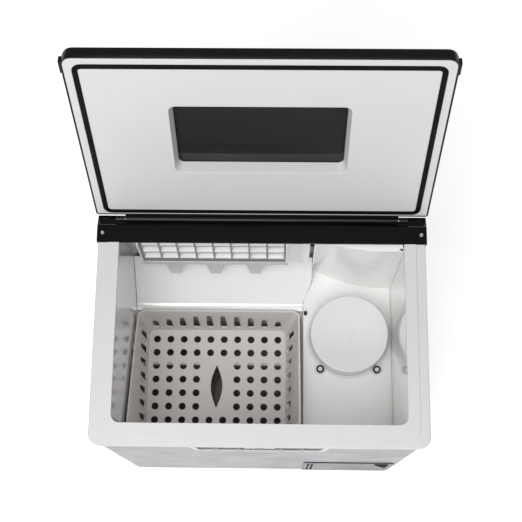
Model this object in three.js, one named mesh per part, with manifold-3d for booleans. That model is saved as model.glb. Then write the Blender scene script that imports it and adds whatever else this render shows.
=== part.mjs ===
// Portable countertop ice maker with its lid open. Millimetres, +Z up, front towards -Y.
import * as THREE from "three";
import { mergeVertices } from "three/addons/utils/BufferGeometryUtils.js";
import Module from "manifold-3d";

const wasm = await Module();
wasm.setup();

// ---------- driving dimensions ----------
const BODY_WIDTH = 355;
const BODY_DEPTH = 248;
const BODY_HEIGHT = 372;
const FIT_GAP = 0.4;

const FOOT_HEIGHT = 8;
const FOOT_RADIUS = 12;
const FOOT_INSET = 34;

const PANEL_INSET = 3;
const PANEL_WALL = 1.6;
const PANEL_CORNER = 8;
const PANEL_RETURN = 36;

const FRAME_CORNER = 11;
const FRAME_SKIRT = 18;
const FRAME_WALL = 2.4;
const FRAME_PLATE = 3;
const FRAME_SIDE_BAR = 23;
const FRAME_FRONT_BAR = 23;
const FRAME_REAR_BAR = 7;
const OPENING_CORNER = 9;
const LAND_SETBACK = 10.5;
const LAND_STEP = 1.2;

const STRIP_DEPTH = 30.5;
const STRIP_TOP_DEPTH = 20.5;
const STRIP_WALL = 3;
const STRIP_LEDGE_DROP = 6;
const STRIP_SEAT_DROP = 12;
const STRIP_OVERHANG = 1.5;
const SCREW_HEAD = 1.4;

const HINGE_BACK = 3.5;
const HINGE_DROP = 2;
const HINGE_RADIUS = 3.4;
const PIN_RADIUS = 2;
const PIN_CLEARANCE = 0.3;
const KNUCKLE_WIDTH = 10;
const KNUCKLE_INSET = 18.5;

const LID_OVERHANG = 6;
const LID_LENGTH = 247.5;
const LID_THICKNESS = 18;
const LID_CORNER = 11;
const LID_REAR_CORNER = 3;
const LID_WALL = 1.4;
const LID_TOP_WALL = 2.4;
const LID_FACE_GAP = 1.5;
const LID_OPEN_ANGLE = 107;
const LINER_PLATE = 2.2;
const GASKET_INSET = 9.5;
const GASKET_REAR_INSET = 4.6;
const GASKET_WIDTH = 5;
const GASKET_CORNER = 9;
const GASKET_PROUD = 1;
const GASKET_DEPTH = 2.4;
const WINDOW_WIDTH = 169;
const WINDOW_LENGTH = 97;
const WINDOW_REAR = 80.5;
const WINDOW_FLARE = 3.5;
const WINDOW_CORNER = 6;
const LENS_WALL = 2.2;

const CABIN_WALL = 2;
const CABIN_DRAFT = 0.01;
const SHELF_DROP = 162;
const BAY_FLOOR_DROP = 262;
const BAY_REAR_SETBACK = 63.5;
const BAY_DRAFT = 0.015;
const BAY_CORNER = 12;
const RIB_SETBACK = 56.5;
const RIB_HEIGHT = 40;

const DECK_DROP = 140;
const DECK_WALL = 2.2;
const DECK_LEAN = 9;
const DOME_RADIUS = 46;
const DOME_TAPER = 0.7;
const DOME_HEIGHT = 27;
const DOME_WALL = 2;
const DOME_SIDE_GAP = 4.5;
const DOME_NECK_GAP = 7;
const DOME_REAR_INSET = 107;
const DOME_EAR_OUT = 4.6;
const DOME_EAR_ANGLE = 49;

const CHUTE_WALL = 2.2;
const CHUTE_TOP_DROP = 110;
const CHUTE_FOOT_DROP = 156;

const GRID_COLUMNS = 8;
const GRID_ROWS = 3;
const GRID_COLUMN_PITCH = 20.2;
const GRID_ROW_PITCH = 20;
const GRID_FIN = 1.4;
const GRID_DEPTH = 13.5;
const GRID_DROP = 13;
const GRID_REAR_GAP = 2.5;
const GRID_SIDE_SHARE = 0.36;
const GRID_LEAN = 0.08;
const GRID_FIN_SLOPE = 0.25;
const BRACKET_WALL = 1.8;
const SCREEN_GAP = 5.5;
const SCREEN_RISE = 6;
const SPRAY_RADIUS = 3.4;

const BASKET_DROP = 215;
const BASKET_WALL = 2;
const BASKET_FLARE = { left: 5.5, right: 14.5, front: 10, rear: 9.5 };
const BASKET_GAP = 1.8;
const BASKET_CORNER = 10;
const BASKET_REAR_RIM_DROP = 150;
const BASKET_FRONT_RIM_DROP = 86;
const HOLE_PITCH = 16.9;
const HOLE_RADIUS = 4.4;
const HOLE_COLUMNS = 10;
const HOLE_ROWS = 7;
const HOLE_MARGIN = 12;
const WALL_HOLE_WIDTH = 8.6;
const WALL_HOLE_FOOT = 9;
const WALL_HOLE_HEIGHTS = [24, 30, 36, 40, 42];
const SLOT_LENGTH = 54.5;
const SLOT_WIDTH = 14.6;
const LIFT_SLOT_ROWS = [2, 5];
const LIFT_SLOT_COLUMNS = [4, 5];

const CONTROL_WIDTH = 150;
const CONTROL_HEIGHT = 44;
const CONTROL_TAPER = 6;
const CONTROL_RIM = 5;
const CONTROL_PROUD = 2.5;
const BUTTON_COUNT = 5;
const BUTTON_RADIUS = 5.5;
const BUTTON_CLEARANCE = 0.4;
const BUTTON_TRAVEL = 1.2;
const DISPLAY_WIDTH = 34;
const DISPLAY_HEIGHT = 15;

const ACCESS_WIDTH = 112;
const ACCESS_HEIGHT = 118;
const ACCESS_PULL_WIDTH = 18;

const COMPRESSOR_RADIUS = 44;
const COMPRESSOR_HEIGHT = 164;
const CONDENSER_WIDTH = 154;
const CONDENSER_HEIGHT = 160;
const CONDENSER_DEPTH = 20;
const CONDENSER_SLOTS = 16;
const FAN_RADIUS = 48;
const FAN_CLEARANCE = 3;
const FAN_BLADES = 5;
const FAN_DEPTH = 9;
const TUBE_RADIUS = 2.5;
const HOSE_RADIUS = 3;
const PUMP_RADIUS = 20;
const PUMP_HEIGHT = 32;
const SPOUT_RADIUS = 5;

// ---------- places worked out from the driving dimensions ----------
const GRID_WIDTH = GRID_COLUMNS * GRID_COLUMN_PITCH;
const DECK_WIDTH = 2 * DOME_RADIUS + DOME_SIDE_GAP + DOME_NECK_GAP;
const TOP = BODY_HEIGHT;
const FRONT = -BODY_DEPTH / 2;
const REAR = BODY_DEPTH / 2;
const SIDE = BODY_WIDTH / 2;
const PANEL_FRONT = FRONT + PANEL_INSET;
const PANEL_REAR = REAR - PANEL_INSET;
const PANEL_SIDE = SIDE - PANEL_INSET;
const OPENING_SIDE = SIDE - FRAME_SIDE_BAR;
const OPENING_FRONT = FRONT + FRAME_FRONT_BAR;
const OPENING_REAR = REAR - FRAME_REAR_BAR;
const STRIP_FRONT = REAR - STRIP_DEPTH;
const HINGE_Y = REAR - HINGE_BACK;
const HINGE_Z = TOP - HINGE_DROP;
const KNUCKLE_OUTER = SIDE - KNUCKLE_INSET;
const KNUCKLE_INNER = KNUCKLE_OUTER - KNUCKLE_WIDTH;
const SHELF_Z = TOP - SHELF_DROP;
const BAY_FLOOR_Z = TOP - BAY_FLOOR_DROP;
const SHELF_SIDE = OPENING_SIDE - CABIN_DRAFT * SHELF_DROP;
const SHELF_FRONT = OPENING_FRONT + CABIN_DRAFT * SHELF_DROP;
const BAY_LEFT = -SHELF_SIDE + FIT_GAP;
const DECK_RIGHT = SHELF_SIDE - FIT_GAP;
const DECK_LEFT = DECK_RIGHT - DECK_WIDTH;
const BAY_RIGHT = DECK_LEFT - CABIN_WALL;
const BAY_CENTRE_X = (BAY_LEFT + BAY_RIGHT) / 2;
const BAY_FRONT = SHELF_FRONT + FIT_GAP;
const BAY_REAR = OPENING_REAR - BAY_REAR_SETBACK;
const DECK_Z = TOP - DECK_DROP;
const DECK_NECK = DECK_LEFT + 10;
const DECK_FRONT = SHELF_FRONT + FIT_GAP;
const DOME_X = DECK_RIGHT - DOME_SIDE_GAP - DOME_RADIUS;
const DOME_Y = REAR - DOME_REAR_INSET;
const GRID_HEIGHT = GRID_ROWS * GRID_ROW_PITCH;
const GRID_ROOM = OPENING_SIDE + DECK_NECK;
const GRID_CENTRE_X = -OPENING_SIDE + GRID_SIDE_SHARE * (GRID_ROOM - GRID_WIDTH) + GRID_WIDTH / 2;
const GRID_REAR = OPENING_REAR - GRID_REAR_GAP;
const GRID_FRONT = GRID_REAR - GRID_DEPTH;
const GRID_TOP_Z = TOP - GRID_DROP;
const GRID_FOOT_Z = GRID_TOP_Z - GRID_HEIGHT;
const BASKET_FLOOR_Z = TOP - BASKET_DROP;
const PAN_Z = FOOT_HEIGHT;
const PAN_TOP_Z = PAN_Z + PANEL_WALL;
const CONTROL_TOP_Z = TOP - FRAME_SKIRT - 2;
const CONTROL_Z = CONTROL_TOP_Z - CONTROL_HEIGHT / 2;
const FAN_X = BAY_CENTRE_X - 8;
const FAN_Z = PAN_TOP_Z + 94;
const CONDENSER_REAR = PANEL_REAR - PANEL_WALL - 7;
const CONDENSER_FRONT = CONDENSER_REAR - CONDENSER_DEPTH;

// ---------- finishes ----------
function finish(color, roughness, metalness = 0) {
  return new THREE.MeshStandardMaterial({ color, roughness, metalness });
}

const WHITE = finish(0xe0dede, 0.35);
const LINER_WHITE = finish(0xdcdbdb, 0.2);
const LID_GREY = finish(0xd4d3d4, 0.4);
const SILVER = finish(0xc2c2c8, 0.35, 0.6);
const BLACK_GLOSS = finish(0x18181a, 0.2);
const BLACK_RUBBER = finish(0x0c0c0c, 0.8);
const SMOKE = finish(0x232326, 0.1);
const BASKET_GREY = finish(0xd0cdcb, 0.4);
const STEEL = finish(0xb9babc, 0.3, 1);
const COPPER = finish(0xb87347, 0.35, 1);
const DARK_PLASTIC = finish(0x3b3c40, 0.4);
const PAINTED_BLACK = finish(0x1d1e20, 0.5, 0.2);
const BOARD_GREEN = finish(0x2f5d3a, 0.6);
const GALVANISED = finish(0xa5a8aa, 0.45, 0.9);

// ---------- solids ----------
function toSolid(geometry) {
  const bare = geometry.clone();
  bare.deleteAttribute("normal");
  bare.deleteAttribute("uv");
  const merged = mergeVertices(bare, 1e-4);
  const vertProperties = new Float32Array(merged.attributes.position.array);
  const triVerts = new Uint32Array(merged.index.array);
  return new wasm.Manifold(new wasm.Mesh({ numProp: 3, vertProperties, triVerts }));
}

function toGeometry(solid) {
  const mesh = solid.getMesh();
  const geometry = new THREE.BufferGeometry();
  geometry.setAttribute("position", new THREE.BufferAttribute(mesh.vertProperties, 3));
  geometry.setIndex(new THREE.BufferAttribute(mesh.triVerts, 1));
  return geometry;
}

function join(...geometries) {
  return toGeometry(geometries.map(toSolid).reduce((whole, piece) => whole.add(piece)));
}

function cut(geometry, ...tools) {
  const solid = tools.map(toSolid).reduce((whole, tool) => whole.subtract(tool), toSolid(geometry));
  return toGeometry(solid);
}

function common(a, b) {
  return toGeometry(toSolid(a).intersect(toSolid(b)));
}

function block(x0, x1, y0, y1, z0, z1) {
  const geometry = new THREE.BoxGeometry(x1 - x0, y1 - y0, z1 - z0);
  return geometry.translate((x0 + x1) / 2, (y0 + y1) / 2, (z0 + z1) / 2);
}

// A closed solid through outlines of equal point count, each at a height or at a plane given as a function.
function loft(levels) {
  const count = levels[0].outline.length;
  const height = (z, p) => (typeof z === "function" ? z(p) : z);
  const positions = levels.flatMap(({ z, outline }) => outline.flatMap((p) => [p.x, p.y, height(z, p)]));
  const indices = [];
  for (let level = 0; level + 1 < levels.length; level++) {
    for (let i = 0; i < count; i++) {
      const a = level * count + i;
      const b = level * count + (i + 1) % count;
      indices.push(a, b, b + count, a, b + count, a + count);
    }
  }
  const last = (levels.length - 1) * count;
  for (const [a, b, c] of THREE.ShapeUtils.triangulateShape(levels[0].outline, [])) {
    indices.push(c, b, a);
  }
  for (const [a, b, c] of THREE.ShapeUtils.triangulateShape(levels.at(-1).outline, [])) {
    indices.push(last + a, last + b, last + c);
  }
  const geometry = new THREE.BufferGeometry();
  geometry.setAttribute("position", new THREE.Float32BufferAttribute(positions, 3));
  geometry.setIndex(indices);
  return geometry;
}

function prism(outline, z0, z1) {
  return loft([{ z: z0, outline }, { z: z1, outline }]);
}

// Corners run counter-clockwise from the one at +X +Y.
function roundedRect(x0, x1, y0, y1, radius, steps = 4) {
  const corners = [[x1 - radius, y1 - radius], [x0 + radius, y1 - radius],
    [x0 + radius, y0 + radius], [x1 - radius, y0 + radius]];
  return corners.flatMap(([cx, cy], quarter) => {
    const points = [];
    for (let i = 0; i <= steps; i++) {
      const angle = (quarter + i / steps) * Math.PI / 2;
      points.push(new THREE.Vector2(cx + radius * Math.cos(angle), cy + radius * Math.sin(angle)));
    }
    return points;
  });
}

function ellipse(cx, cy, rx, ry, sides) {
  const points = [];
  for (let i = 0; i < sides; i++) {
    const angle = (i + 0.5) / sides * 2 * Math.PI;
    points.push(new THREE.Vector2(cx + rx * Math.cos(angle), cy + ry * Math.sin(angle)));
  }
  return points;
}

function polygon(...pairs) {
  return pairs.map(([x, y]) => new THREE.Vector2(x, y));
}

// Moves every side of a counter-clockwise outline outwards by a distance.
function grown(outline, distance) {
  return outline.map((point, i) => {
    const before = outline[(i + outline.length - 1) % outline.length];
    const after = outline[(i + 1) % outline.length];
    const into = point.clone().sub(before).normalize();
    const out = after.clone().sub(point).normalize();
    const normal = new THREE.Vector2(into.y + out.y, -into.x - out.x).normalize();
    const reach = distance / (normal.x * into.y - normal.y * into.x);
    return point.clone().addScaledVector(normal, reach);
  });
}

// A round solid about Z from [radius, height] pairs that run upwards.
function turned(profile, x, y, sides = 24) {
  return loft(profile.map(([radius, z]) => ({ z, outline: ellipse(x, y, radius, radius, sides) })));
}

// Turns a solid drawn in (Y, Z, X) order, so that its height runs along X.
function alongX(geometry) {
  const basis = new THREE.Matrix4().makeBasis(
    new THREE.Vector3(0, 1, 0), new THREE.Vector3(0, 0, 1), new THREE.Vector3(1, 0, 0));
  return geometry.applyMatrix4(basis);
}

// Turns a solid drawn in (-X, Z, Y) order, so that its height runs along Y.
function alongY(geometry) {
  const basis = new THREE.Matrix4().makeBasis(
    new THREE.Vector3(-1, 0, 0), new THREE.Vector3(0, 0, 1), new THREE.Vector3(0, 1, 0));
  return geometry.applyMatrix4(basis);
}

function rodX(y, z, radius, x0, x1, sides = 16) {
  return alongX(prism(ellipse(y, z, radius, radius, sides), x0, x1));
}

function rodY(x, z, radius, y0, y1, sides = 16) {
  return alongY(prism(ellipse(-x, z, radius, radius, sides), y0, y1));
}

function tube(points, radius, sides = 6, steps = 24) {
  const path = new THREE.CatmullRomCurve3(points.map((p) => new THREE.Vector3(...p)), false, "centripetal");
  const shape = new THREE.Shape(ellipse(0, 0, radius, radius, sides));
  return new THREE.ExtrudeGeometry(shape, { steps, extrudePath: path, bevelEnabled: false });
}

function screwGeometry(radius, height) {
  const head = turned([[radius, 0], [radius, height * 0.5], [radius * 0.75, height]], 0, 0, 16);
  const slotA = block(-radius * 0.55, radius * 0.55, -0.3, 0.3, height * 0.5, height * 2);
  const slotB = block(-0.3, 0.3, -radius * 0.55, radius * 0.55, height * 0.5, height * 2);
  return cut(head, slotA, slotB);
}

// ---------- assembly ----------
const model = new THREE.Group();
const machine = new THREE.Group();
model.add(machine);

function addPart(name, geometry, material, parent = machine) {
  const mesh = new THREE.Mesh(geometry, material);
  mesh.name = name;
  parent.add(mesh);
  return mesh;
}

// ---------- casing ----------
function addFeet() {
  const x = SIDE - FOOT_INSET;
  const y = REAR - FOOT_INSET;
  const places = { front_left: [-x, -y], front_right: [x, -y], rear_left: [-x, y], rear_right: [x, y] };
  for (const [place, [px, py]] of Object.entries(places)) {
    const profile = [[FOOT_RADIUS - 1, 0], [FOOT_RADIUS, 1.2], [FOOT_RADIUS, FOOT_HEIGHT - FIT_GAP]];
    addPart(`foot_${place}`, turned(profile, px, py), BLACK_RUBBER);
  }
}

function addBasePan() {
  const inset = PANEL_WALL + FIT_GAP;
  const outline = roundedRect(-PANEL_SIDE + inset, PANEL_SIDE - inset, PANEL_FRONT + inset,
    PANEL_REAR - inset, PANEL_CORNER - inset);
  const rimHeight = 14;
  const hollow = prism(grown(outline, -PANEL_WALL), PAN_TOP_Z, PAN_TOP_Z + rimHeight + 1);
  addPart("base_pan", cut(prism(outline, PAN_Z, PAN_TOP_Z + rimHeight), hollow), GALVANISED);
}

function panelRing(topZ) {
  const outline = roundedRect(-PANEL_SIDE, PANEL_SIDE, PANEL_FRONT, PANEL_REAR, PANEL_CORNER, 6);
  return cut(prism(outline, PAN_Z, topZ), prism(grown(outline, -PANEL_WALL), PAN_Z - 1, topZ + 1));
}

function controlOutline(grow) {
  const half = CONTROL_WIDTH / 2 + grow;
  const low = CONTROL_Z - CONTROL_HEIGHT / 2 - grow;
  const high = CONTROL_Z + CONTROL_HEIGHT / 2 + grow;
  return polygon([half, high], [-half, high], [-half + CONTROL_TAPER, low], [half - CONTROL_TAPER, low]);
}

const ACCESS_RIGHT = PANEL_SIDE - PANEL_CORNER - 2;
const ACCESS_LEFT = ACCESS_RIGHT - ACCESS_WIDTH;
const ACCESS_LOW = PAN_Z + 6;
const ACCESS_HIGH = ACCESS_LOW + ACCESS_HEIGHT;

function addFrontPanel() {
  const limit = block(-SIDE, SIDE, FRONT, PANEL_FRONT + PANEL_RETURN, 0, TOP);
  const panel = common(panelRing(TOP - FRAME_PLATE - LAND_STEP - 2), limit);
  const controlHole = alongY(prism(grown(controlOutline(0), -CONTROL_RIM + 1), FRONT, PANEL_FRONT + 4));
  const accessHole = block(ACCESS_LEFT + 3, ACCESS_RIGHT - 3, FRONT, PANEL_FRONT + 4,
    ACCESS_LOW + 3, ACCESS_HIGH - 3);
  addPart("front_panel", cut(panel, controlHole, accessHole), SILVER);
}

function louvres(x0, x1) {
  const slots = [];
  const count = 9;
  const pitch = 9;
  const lowest = PAN_Z + 40;
  for (let i = 0; i < count; i++) {
    const z = lowest + i * pitch;
    slots.push(block(x0, x1, -45, 45, z, z + 4));
  }
  return slots;
}

function addSidePanels() {
  const front = PANEL_FRONT + PANEL_RETURN + FIT_GAP;
  const rear = PANEL_REAR - PANEL_RETURN - FIT_GAP;
  const ring = panelRing(TOP - FRAME_PLATE - LAND_STEP - 2);
  const left = common(ring, block(-SIDE, 0, front, rear, 0, TOP));
  const right = common(ring, block(0, SIDE, front, rear, 0, TOP));
  addPart("left_side_panel", cut(left, ...louvres(-SIDE, -PANEL_SIDE + 4)), SILVER);
  addPart("right_side_panel", cut(right, ...louvres(PANEL_SIDE - 4, SIDE)), SILVER);
}

const SPOUT_X = BAY_LEFT + 4;
const SPOUT_Z = PAN_TOP_Z + 24;
const INLET_X = 120;
const INLET_Z = PAN_TOP_Z + 34;
const INLET_WIDTH = 28;
const INLET_HEIGHT = 22;

function addRearPanel() {
  const limit = block(-SIDE, SIDE, PANEL_REAR - PANEL_RETURN, REAR, 0, TOP);
  const panel = common(panelRing(TOP - STRIP_SEAT_DROP - 1), limit);
  const tools = [rodY(SPOUT_X, SPOUT_Z, SPOUT_RADIUS + 1, PANEL_REAR - 4, REAR)];
  const inletGap = FIT_GAP / 2;
  tools.push(block(INLET_X - INLET_WIDTH / 2 - inletGap, INLET_X + INLET_WIDTH / 2 + inletGap,
    PANEL_REAR - 4, REAR, INLET_Z - INLET_HEIGHT / 2 - inletGap, INLET_Z + INLET_HEIGHT / 2 + inletGap));
  const slotCount = 12;
  const slotHeight = 5;
  const pitch = (CONDENSER_HEIGHT - 20) / slotCount;
  for (let i = 0; i < slotCount; i++) {
    const z = PAN_TOP_Z + 26 + i * pitch;
    tools.push(block(FAN_X - CONDENSER_WIDTH * 0.4, FAN_X + CONDENSER_WIDTH * 0.4,
      PANEL_REAR - 4, REAR, z, z + slotHeight));
  }
  addPart("rear_panel", cut(panel, ...tools), SILVER);
}

function openingOutline(grow, radius = OPENING_CORNER) {
  return roundedRect(-OPENING_SIDE - grow, OPENING_SIDE + grow, OPENING_FRONT - grow,
    OPENING_REAR + grow, radius);
}

function addTopFrame() {
  const outer = roundedRect(-SIDE, SIDE, FRONT, REAR, FRAME_CORNER, 6);
  const shoulderZ = TOP - LAND_STEP;
  const skirtFoot = TOP - FRAME_SKIRT;
  const shell = loft([{ z: skirtFoot, outline: outer }, { z: shoulderZ - 1.5, outline: outer },
    { z: shoulderZ - 0.4, outline: grown(outer, -0.5) }, { z: shoulderZ, outline: grown(outer, -1.5) }]);
  const landInset = LAND_SETBACK;
  const land = prism(roundedRect(-SIDE + landInset, SIDE - landInset, FRONT + landInset,
    REAR - landInset, FRAME_CORNER - 5), shoulderZ - 1, TOP);
  const pocket = prism(grown(outer, -FRAME_WALL), skirtFoot - 1, shoulderZ - FRAME_PLATE);
  const opening = prism(openingOutline(0), skirtFoot - 1, TOP + 1);
  const seat = block(-SIDE - 1, SIDE + 1, STRIP_FRONT, REAR + 1, TOP - STRIP_SEAT_DROP, TOP + 1);
  addPart("top_frame", cut(join(shell, land), pocket, opening, seat), WHITE);
}

// ---------- hinge ----------
function addHingeCover() {
  const screwRadius = 2.6;
  const front = STRIP_FRONT + FIT_GAP;
  const end = SIDE + STRIP_OVERHANG;
  const riser = STRIP_FRONT + STRIP_TOP_DEPTH;
  const ledgeZ = TOP - STRIP_LEDGE_DROP;
  const seatZ = TOP - STRIP_SEAT_DROP + FIT_GAP;
  const rear = REAR + STRIP_OVERHANG;
  const profile = polygon([front, TOP - STRIP_WALL - 1], [front + 2.4, TOP - STRIP_WALL - 1],
    [front + 2.4, TOP - STRIP_WALL], [riser - STRIP_WALL, TOP - STRIP_WALL], [riser - STRIP_WALL, seatZ],
    [rear, seatZ], [rear, ledgeZ], [riser, ledgeZ], [riser, TOP - 1], [riser - 1, TOP],
    [front + 1.5, TOP], [front, TOP - 1.5]);
  const strip = alongX(prism(profile, -end, end));
  const grooves = [4.5, 9].map((y) =>
    block(-end + 12, end - 12, front + y, front + y + 1.2, TOP - 0.8, TOP + 1));
  const caps = [-end, end - STRIP_WALL].map((x) => alongX(prism(polygon(
    [front, seatZ], [rear, seatZ], [rear, ledgeZ], [riser, TOP - 1], [riser - 1, TOP],
    [front + 1.5, TOP], [front, TOP - 1.5]), x, x + STRIP_WALL)));
  const knuckles = [-KNUCKLE_OUTER, KNUCKLE_INNER].flatMap((x) => [
    rodX(HINGE_Y, HINGE_Z, HINGE_RADIUS, x, x + KNUCKLE_WIDTH, 20),
    block(x, x + KNUCKLE_WIDTH, HINGE_Y - 3, HINGE_Y + 3, seatZ, HINGE_Z),
  ]);
  const bore = PIN_RADIUS + PIN_CLEARANCE;
  const bores = [-KNUCKLE_OUTER - 1, KNUCKLE_INNER - 1].map((x) =>
    rodX(HINGE_Y, HINGE_Z, bore, x, x + KNUCKLE_WIDTH + 2));
  const screwX = end - STRIP_WALL - screwRadius - 0.2;
  const screwY = front + 10.5;
  const wellFoot = TOP - SCREW_HEAD - FIT_GAP;
  const wells = [-1, 1].map((side) =>
    turned([[screwRadius + 0.6, wellFoot], [screwRadius + 1.2, TOP + 1]], side * screwX, screwY));
  addPart("hinge_cover", cut(join(strip, ...caps, ...knuckles), ...grooves, ...bores, ...wells), BLACK_GLOSS);
  for (const [place, side] of [["left", -1], ["right", 1]]) {
    const inner = KNUCKLE_INNER - 9;
    const x0 = side < 0 ? -KNUCKLE_OUTER + 0.5 : inner;
    const x1 = side < 0 ? -inner : KNUCKLE_OUTER - 0.5;
    addPart(`hinge_pin_${place}`, rodX(HINGE_Y, HINGE_Z, PIN_RADIUS, x0, x1), STEEL);
    const screw = addPart(`hinge_screw_${place}`, screwGeometry(screwRadius, SCREW_HEAD), STEEL);
    screw.position.set(side * screwX, screwY, wellFoot + FIT_GAP / 2);
  }
}

// ---------- cabin ----------
function addCabinLiner() {
  const topZ = TOP - LAND_STEP - FRAME_PLATE - FIT_GAP;
  const draft = (z) => -CABIN_DRAFT * (TOP - z);
  const upper = (z, grow) => ({ z, outline: openingOutline(draft(z) + grow) });
  const bayOutline = (z, grow) => {
    const shrink = BAY_DRAFT * (SHELF_Z - z) - grow;
    return { z, outline: roundedRect(BAY_LEFT + shrink, BAY_RIGHT - shrink, BAY_FRONT + shrink,
      BAY_REAR - shrink, BAY_CORNER) };
  };
  const shelfFoot = SHELF_Z - CABIN_WALL;
  const box = loft([upper(shelfFoot, CABIN_WALL), upper(topZ, CABIN_WALL)]);
  const bay = loft([bayOutline(BAY_FLOOR_Z - CABIN_WALL, CABIN_WALL), bayOutline(SHELF_Z - 0.5, CABIN_WALL)]);
  const boxVoid = loft([upper(SHELF_Z, 0), upper(topZ + 1, 0)]);
  const bayVoid = loft([bayOutline(BAY_FLOOR_Z, 0), bayOutline(SHELF_Z + 1, 0)]);
  const stripRelief = block(-SIDE, SIDE, STRIP_FRONT + STRIP_TOP_DEPTH - STRIP_WALL - 1, REAR,
    TOP - STRIP_SEAT_DROP - 1, TOP);
  const serviceHole = block(DECK_LEFT + 14, DECK_RIGHT - 4, DOME_Y - DOME_RADIUS, OPENING_REAR - 6,
    shelfFoot - 1, SHELF_Z + 1);
  const intake = turned([[5, BAY_FLOOR_Z - CABIN_WALL - 1], [5, BAY_FLOOR_Z + 1]], PUMP_X, PUMP_Y, 12);
  const shell = cut(join(box, bay), boxVoid, bayVoid, stripRelief, serviceHole, intake);
  const ribY = BAY_REAR - RIB_SETBACK;
  const rib = block(BAY_LEFT + 1, BAY_RIGHT - 1, ribY, ribY + 3, BAY_FLOOR_Z - 0.5, BAY_FLOOR_Z + RIB_HEIGHT);
  addPart("cabin_liner", join(shell, rib), LINER_WHITE);
}

// The deck's back wall follows a shallow curve, and its right side leans back as it rises.
function deckOutline(grow, lean) {
  const curve = new THREE.QuadraticBezierCurve(
    new THREE.Vector2(DECK_RIGHT, BAY_REAR + 26.5 + lean),
    new THREE.Vector2(DOME_X - 12, BAY_REAR + 28 + lean / 2),
    new THREE.Vector2(DECK_NECK, BAY_REAR + 52));
  const neck = new THREE.CubicBezierCurve(
    new THREE.Vector2(DECK_NECK, BAY_REAR + 33), new THREE.Vector2(DECK_NECK, BAY_REAR + 21),
    new THREE.Vector2(DECK_LEFT, BAY_REAR + 17), new THREE.Vector2(DECK_LEFT, BAY_REAR + 2));
  const corner = roundedRect(DECK_LEFT, DECK_RIGHT, DECK_FRONT, BAY_REAR, OPENING_CORNER + 2).slice(-5);
  const front = [new THREE.Vector2(DECK_LEFT, DECK_FRONT), ...corner];
  return grown([...curve.getPoints(6), ...neck.getPoints(5), ...front], grow);
}

function addDeckCover() {
  const foot = SHELF_Z + FIT_GAP;
  const head = TOP - LAND_STEP - FRAME_PLATE - 2 * FIT_GAP;
  const leanAt = (z) => DECK_LEAN * (z - DECK_Z) / (head - DECK_Z);
  const level = (z, grow) => ({ z, outline: deckOutline(grow, leanAt(z)) });
  const mass = loft([level(foot, 0), level(DECK_Z, 0), level(head, 0)]);
  const under = prism(deckOutline(-DECK_WALL, leanAt(foot)), foot - 1, DECK_Z - DECK_WALL);
  const openTop = (z) => {
    const outline = deckOutline(-DECK_WALL, leanAt(z));
    const far = 30;
    const back = outline.slice(0, 7);
    const side = polygon([DECK_LEFT - far, outline[6].y], [DECK_LEFT - far, DECK_FRONT - far],
      [DECK_RIGHT + far, DECK_FRONT - far], [DECK_RIGHT + far, outline[0].y]);
    return { z, outline: [...back, ...side] };
  };
  const over = loft([openTop(DECK_Z), openTop(head + 1)]);
  const hole = turned([[DOME_RADIUS - 4, foot], [DOME_RADIUS - 4, DECK_Z + 1]], DOME_X, DOME_Y, 32);
  const flangeRight = OPENING_SIDE - CABIN_DRAFT * (TOP - head) - 2 * FIT_GAP;
  const flange = block(DOME_X - DOME_RADIUS / 2, flangeRight, BAY_REAR + 26, STRIP_FRONT + 1,
    head - DECK_WALL, head);
  addPart("deck_cover", cut(join(mass, flange), under, over, hole), LINER_WHITE);
}

function addDomeCover() {
  const foot = DECK_Z + FIT_GAP;
  const head = foot + DOME_HEIGHT;
  const rim = DOME_RADIUS;
  const crown = DOME_RADIUS - DOME_TAPER;
  const skin = turned([[rim, foot], [crown, head - 1.5], [crown - 0.4, head - 0.5], [crown - 1.5, head]],
    DOME_X, DOME_Y, 40);
  const hollow = turned([[rim - DOME_WALL, foot - 1], [crown - DOME_WALL, head - DOME_WALL]],
    DOME_X, DOME_Y, 24);
  const earAngle = THREE.MathUtils.degToRad(DOME_EAR_ANGLE);
  const earX = (side) => DOME_X + side * (DOME_RADIUS + DOME_EAR_OUT) * Math.cos(earAngle);
  const earY = DOME_Y - (DOME_RADIUS + DOME_EAR_OUT) * Math.sin(earAngle);
  const ears = [-1, 1].map((side) => turned([[6, foot], [5.4, foot + 5]], earX(side), earY, 16));
  const webs = [-1, 1].map((side) => block(earX(side) - 4, earX(side) + 4, earY, earY + 12, foot, foot + 3));
  addPart("dome_cover", cut(join(skin, ...ears, ...webs), hollow), WHITE);
  for (const [place, side] of [["left", -1], ["right", 1]]) {
    const screw = addPart(`dome_screw_${place}`, screwGeometry(3, 1.6), STEEL);
    screw.position.set(earX(side), earY, foot + 5 + FIT_GAP / 2);
  }
}

function addIceChute() {
  const head = new THREE.Vector2(OPENING_REAR - 9, TOP - CHUTE_TOP_DROP);
  const foot = new THREE.Vector2(BAY_REAR - 1, TOP - CHUTE_FOOT_DROP);
  const bend = new THREE.Vector2(BAY_REAR + 16, TOP - CHUTE_FOOT_DROP + 5);
  const skin = new THREE.QuadraticBezierCurve(foot, bend, head).getPoints(8);
  const under = skin.map((p) => new THREE.Vector2(p.x, p.y - CHUTE_WALL));
  const profile = [...under, ...skin.reverse()];
  const sheet = alongX(prism(profile, -OPENING_SIDE, DECK_NECK - FIT_GAP));
  const deckRoom = prism(deckOutline(FIT_GAP, 0), SHELF_Z, TOP);
  const liner = (z) => ({ z, outline: openingOutline(-CABIN_DRAFT * (TOP - z) - FIT_GAP) });
  addPart("ice_chute", cut(common(sheet, loft([liner(SHELF_Z), liner(TOP)])), deckRoom), LINER_WHITE);
}

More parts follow.
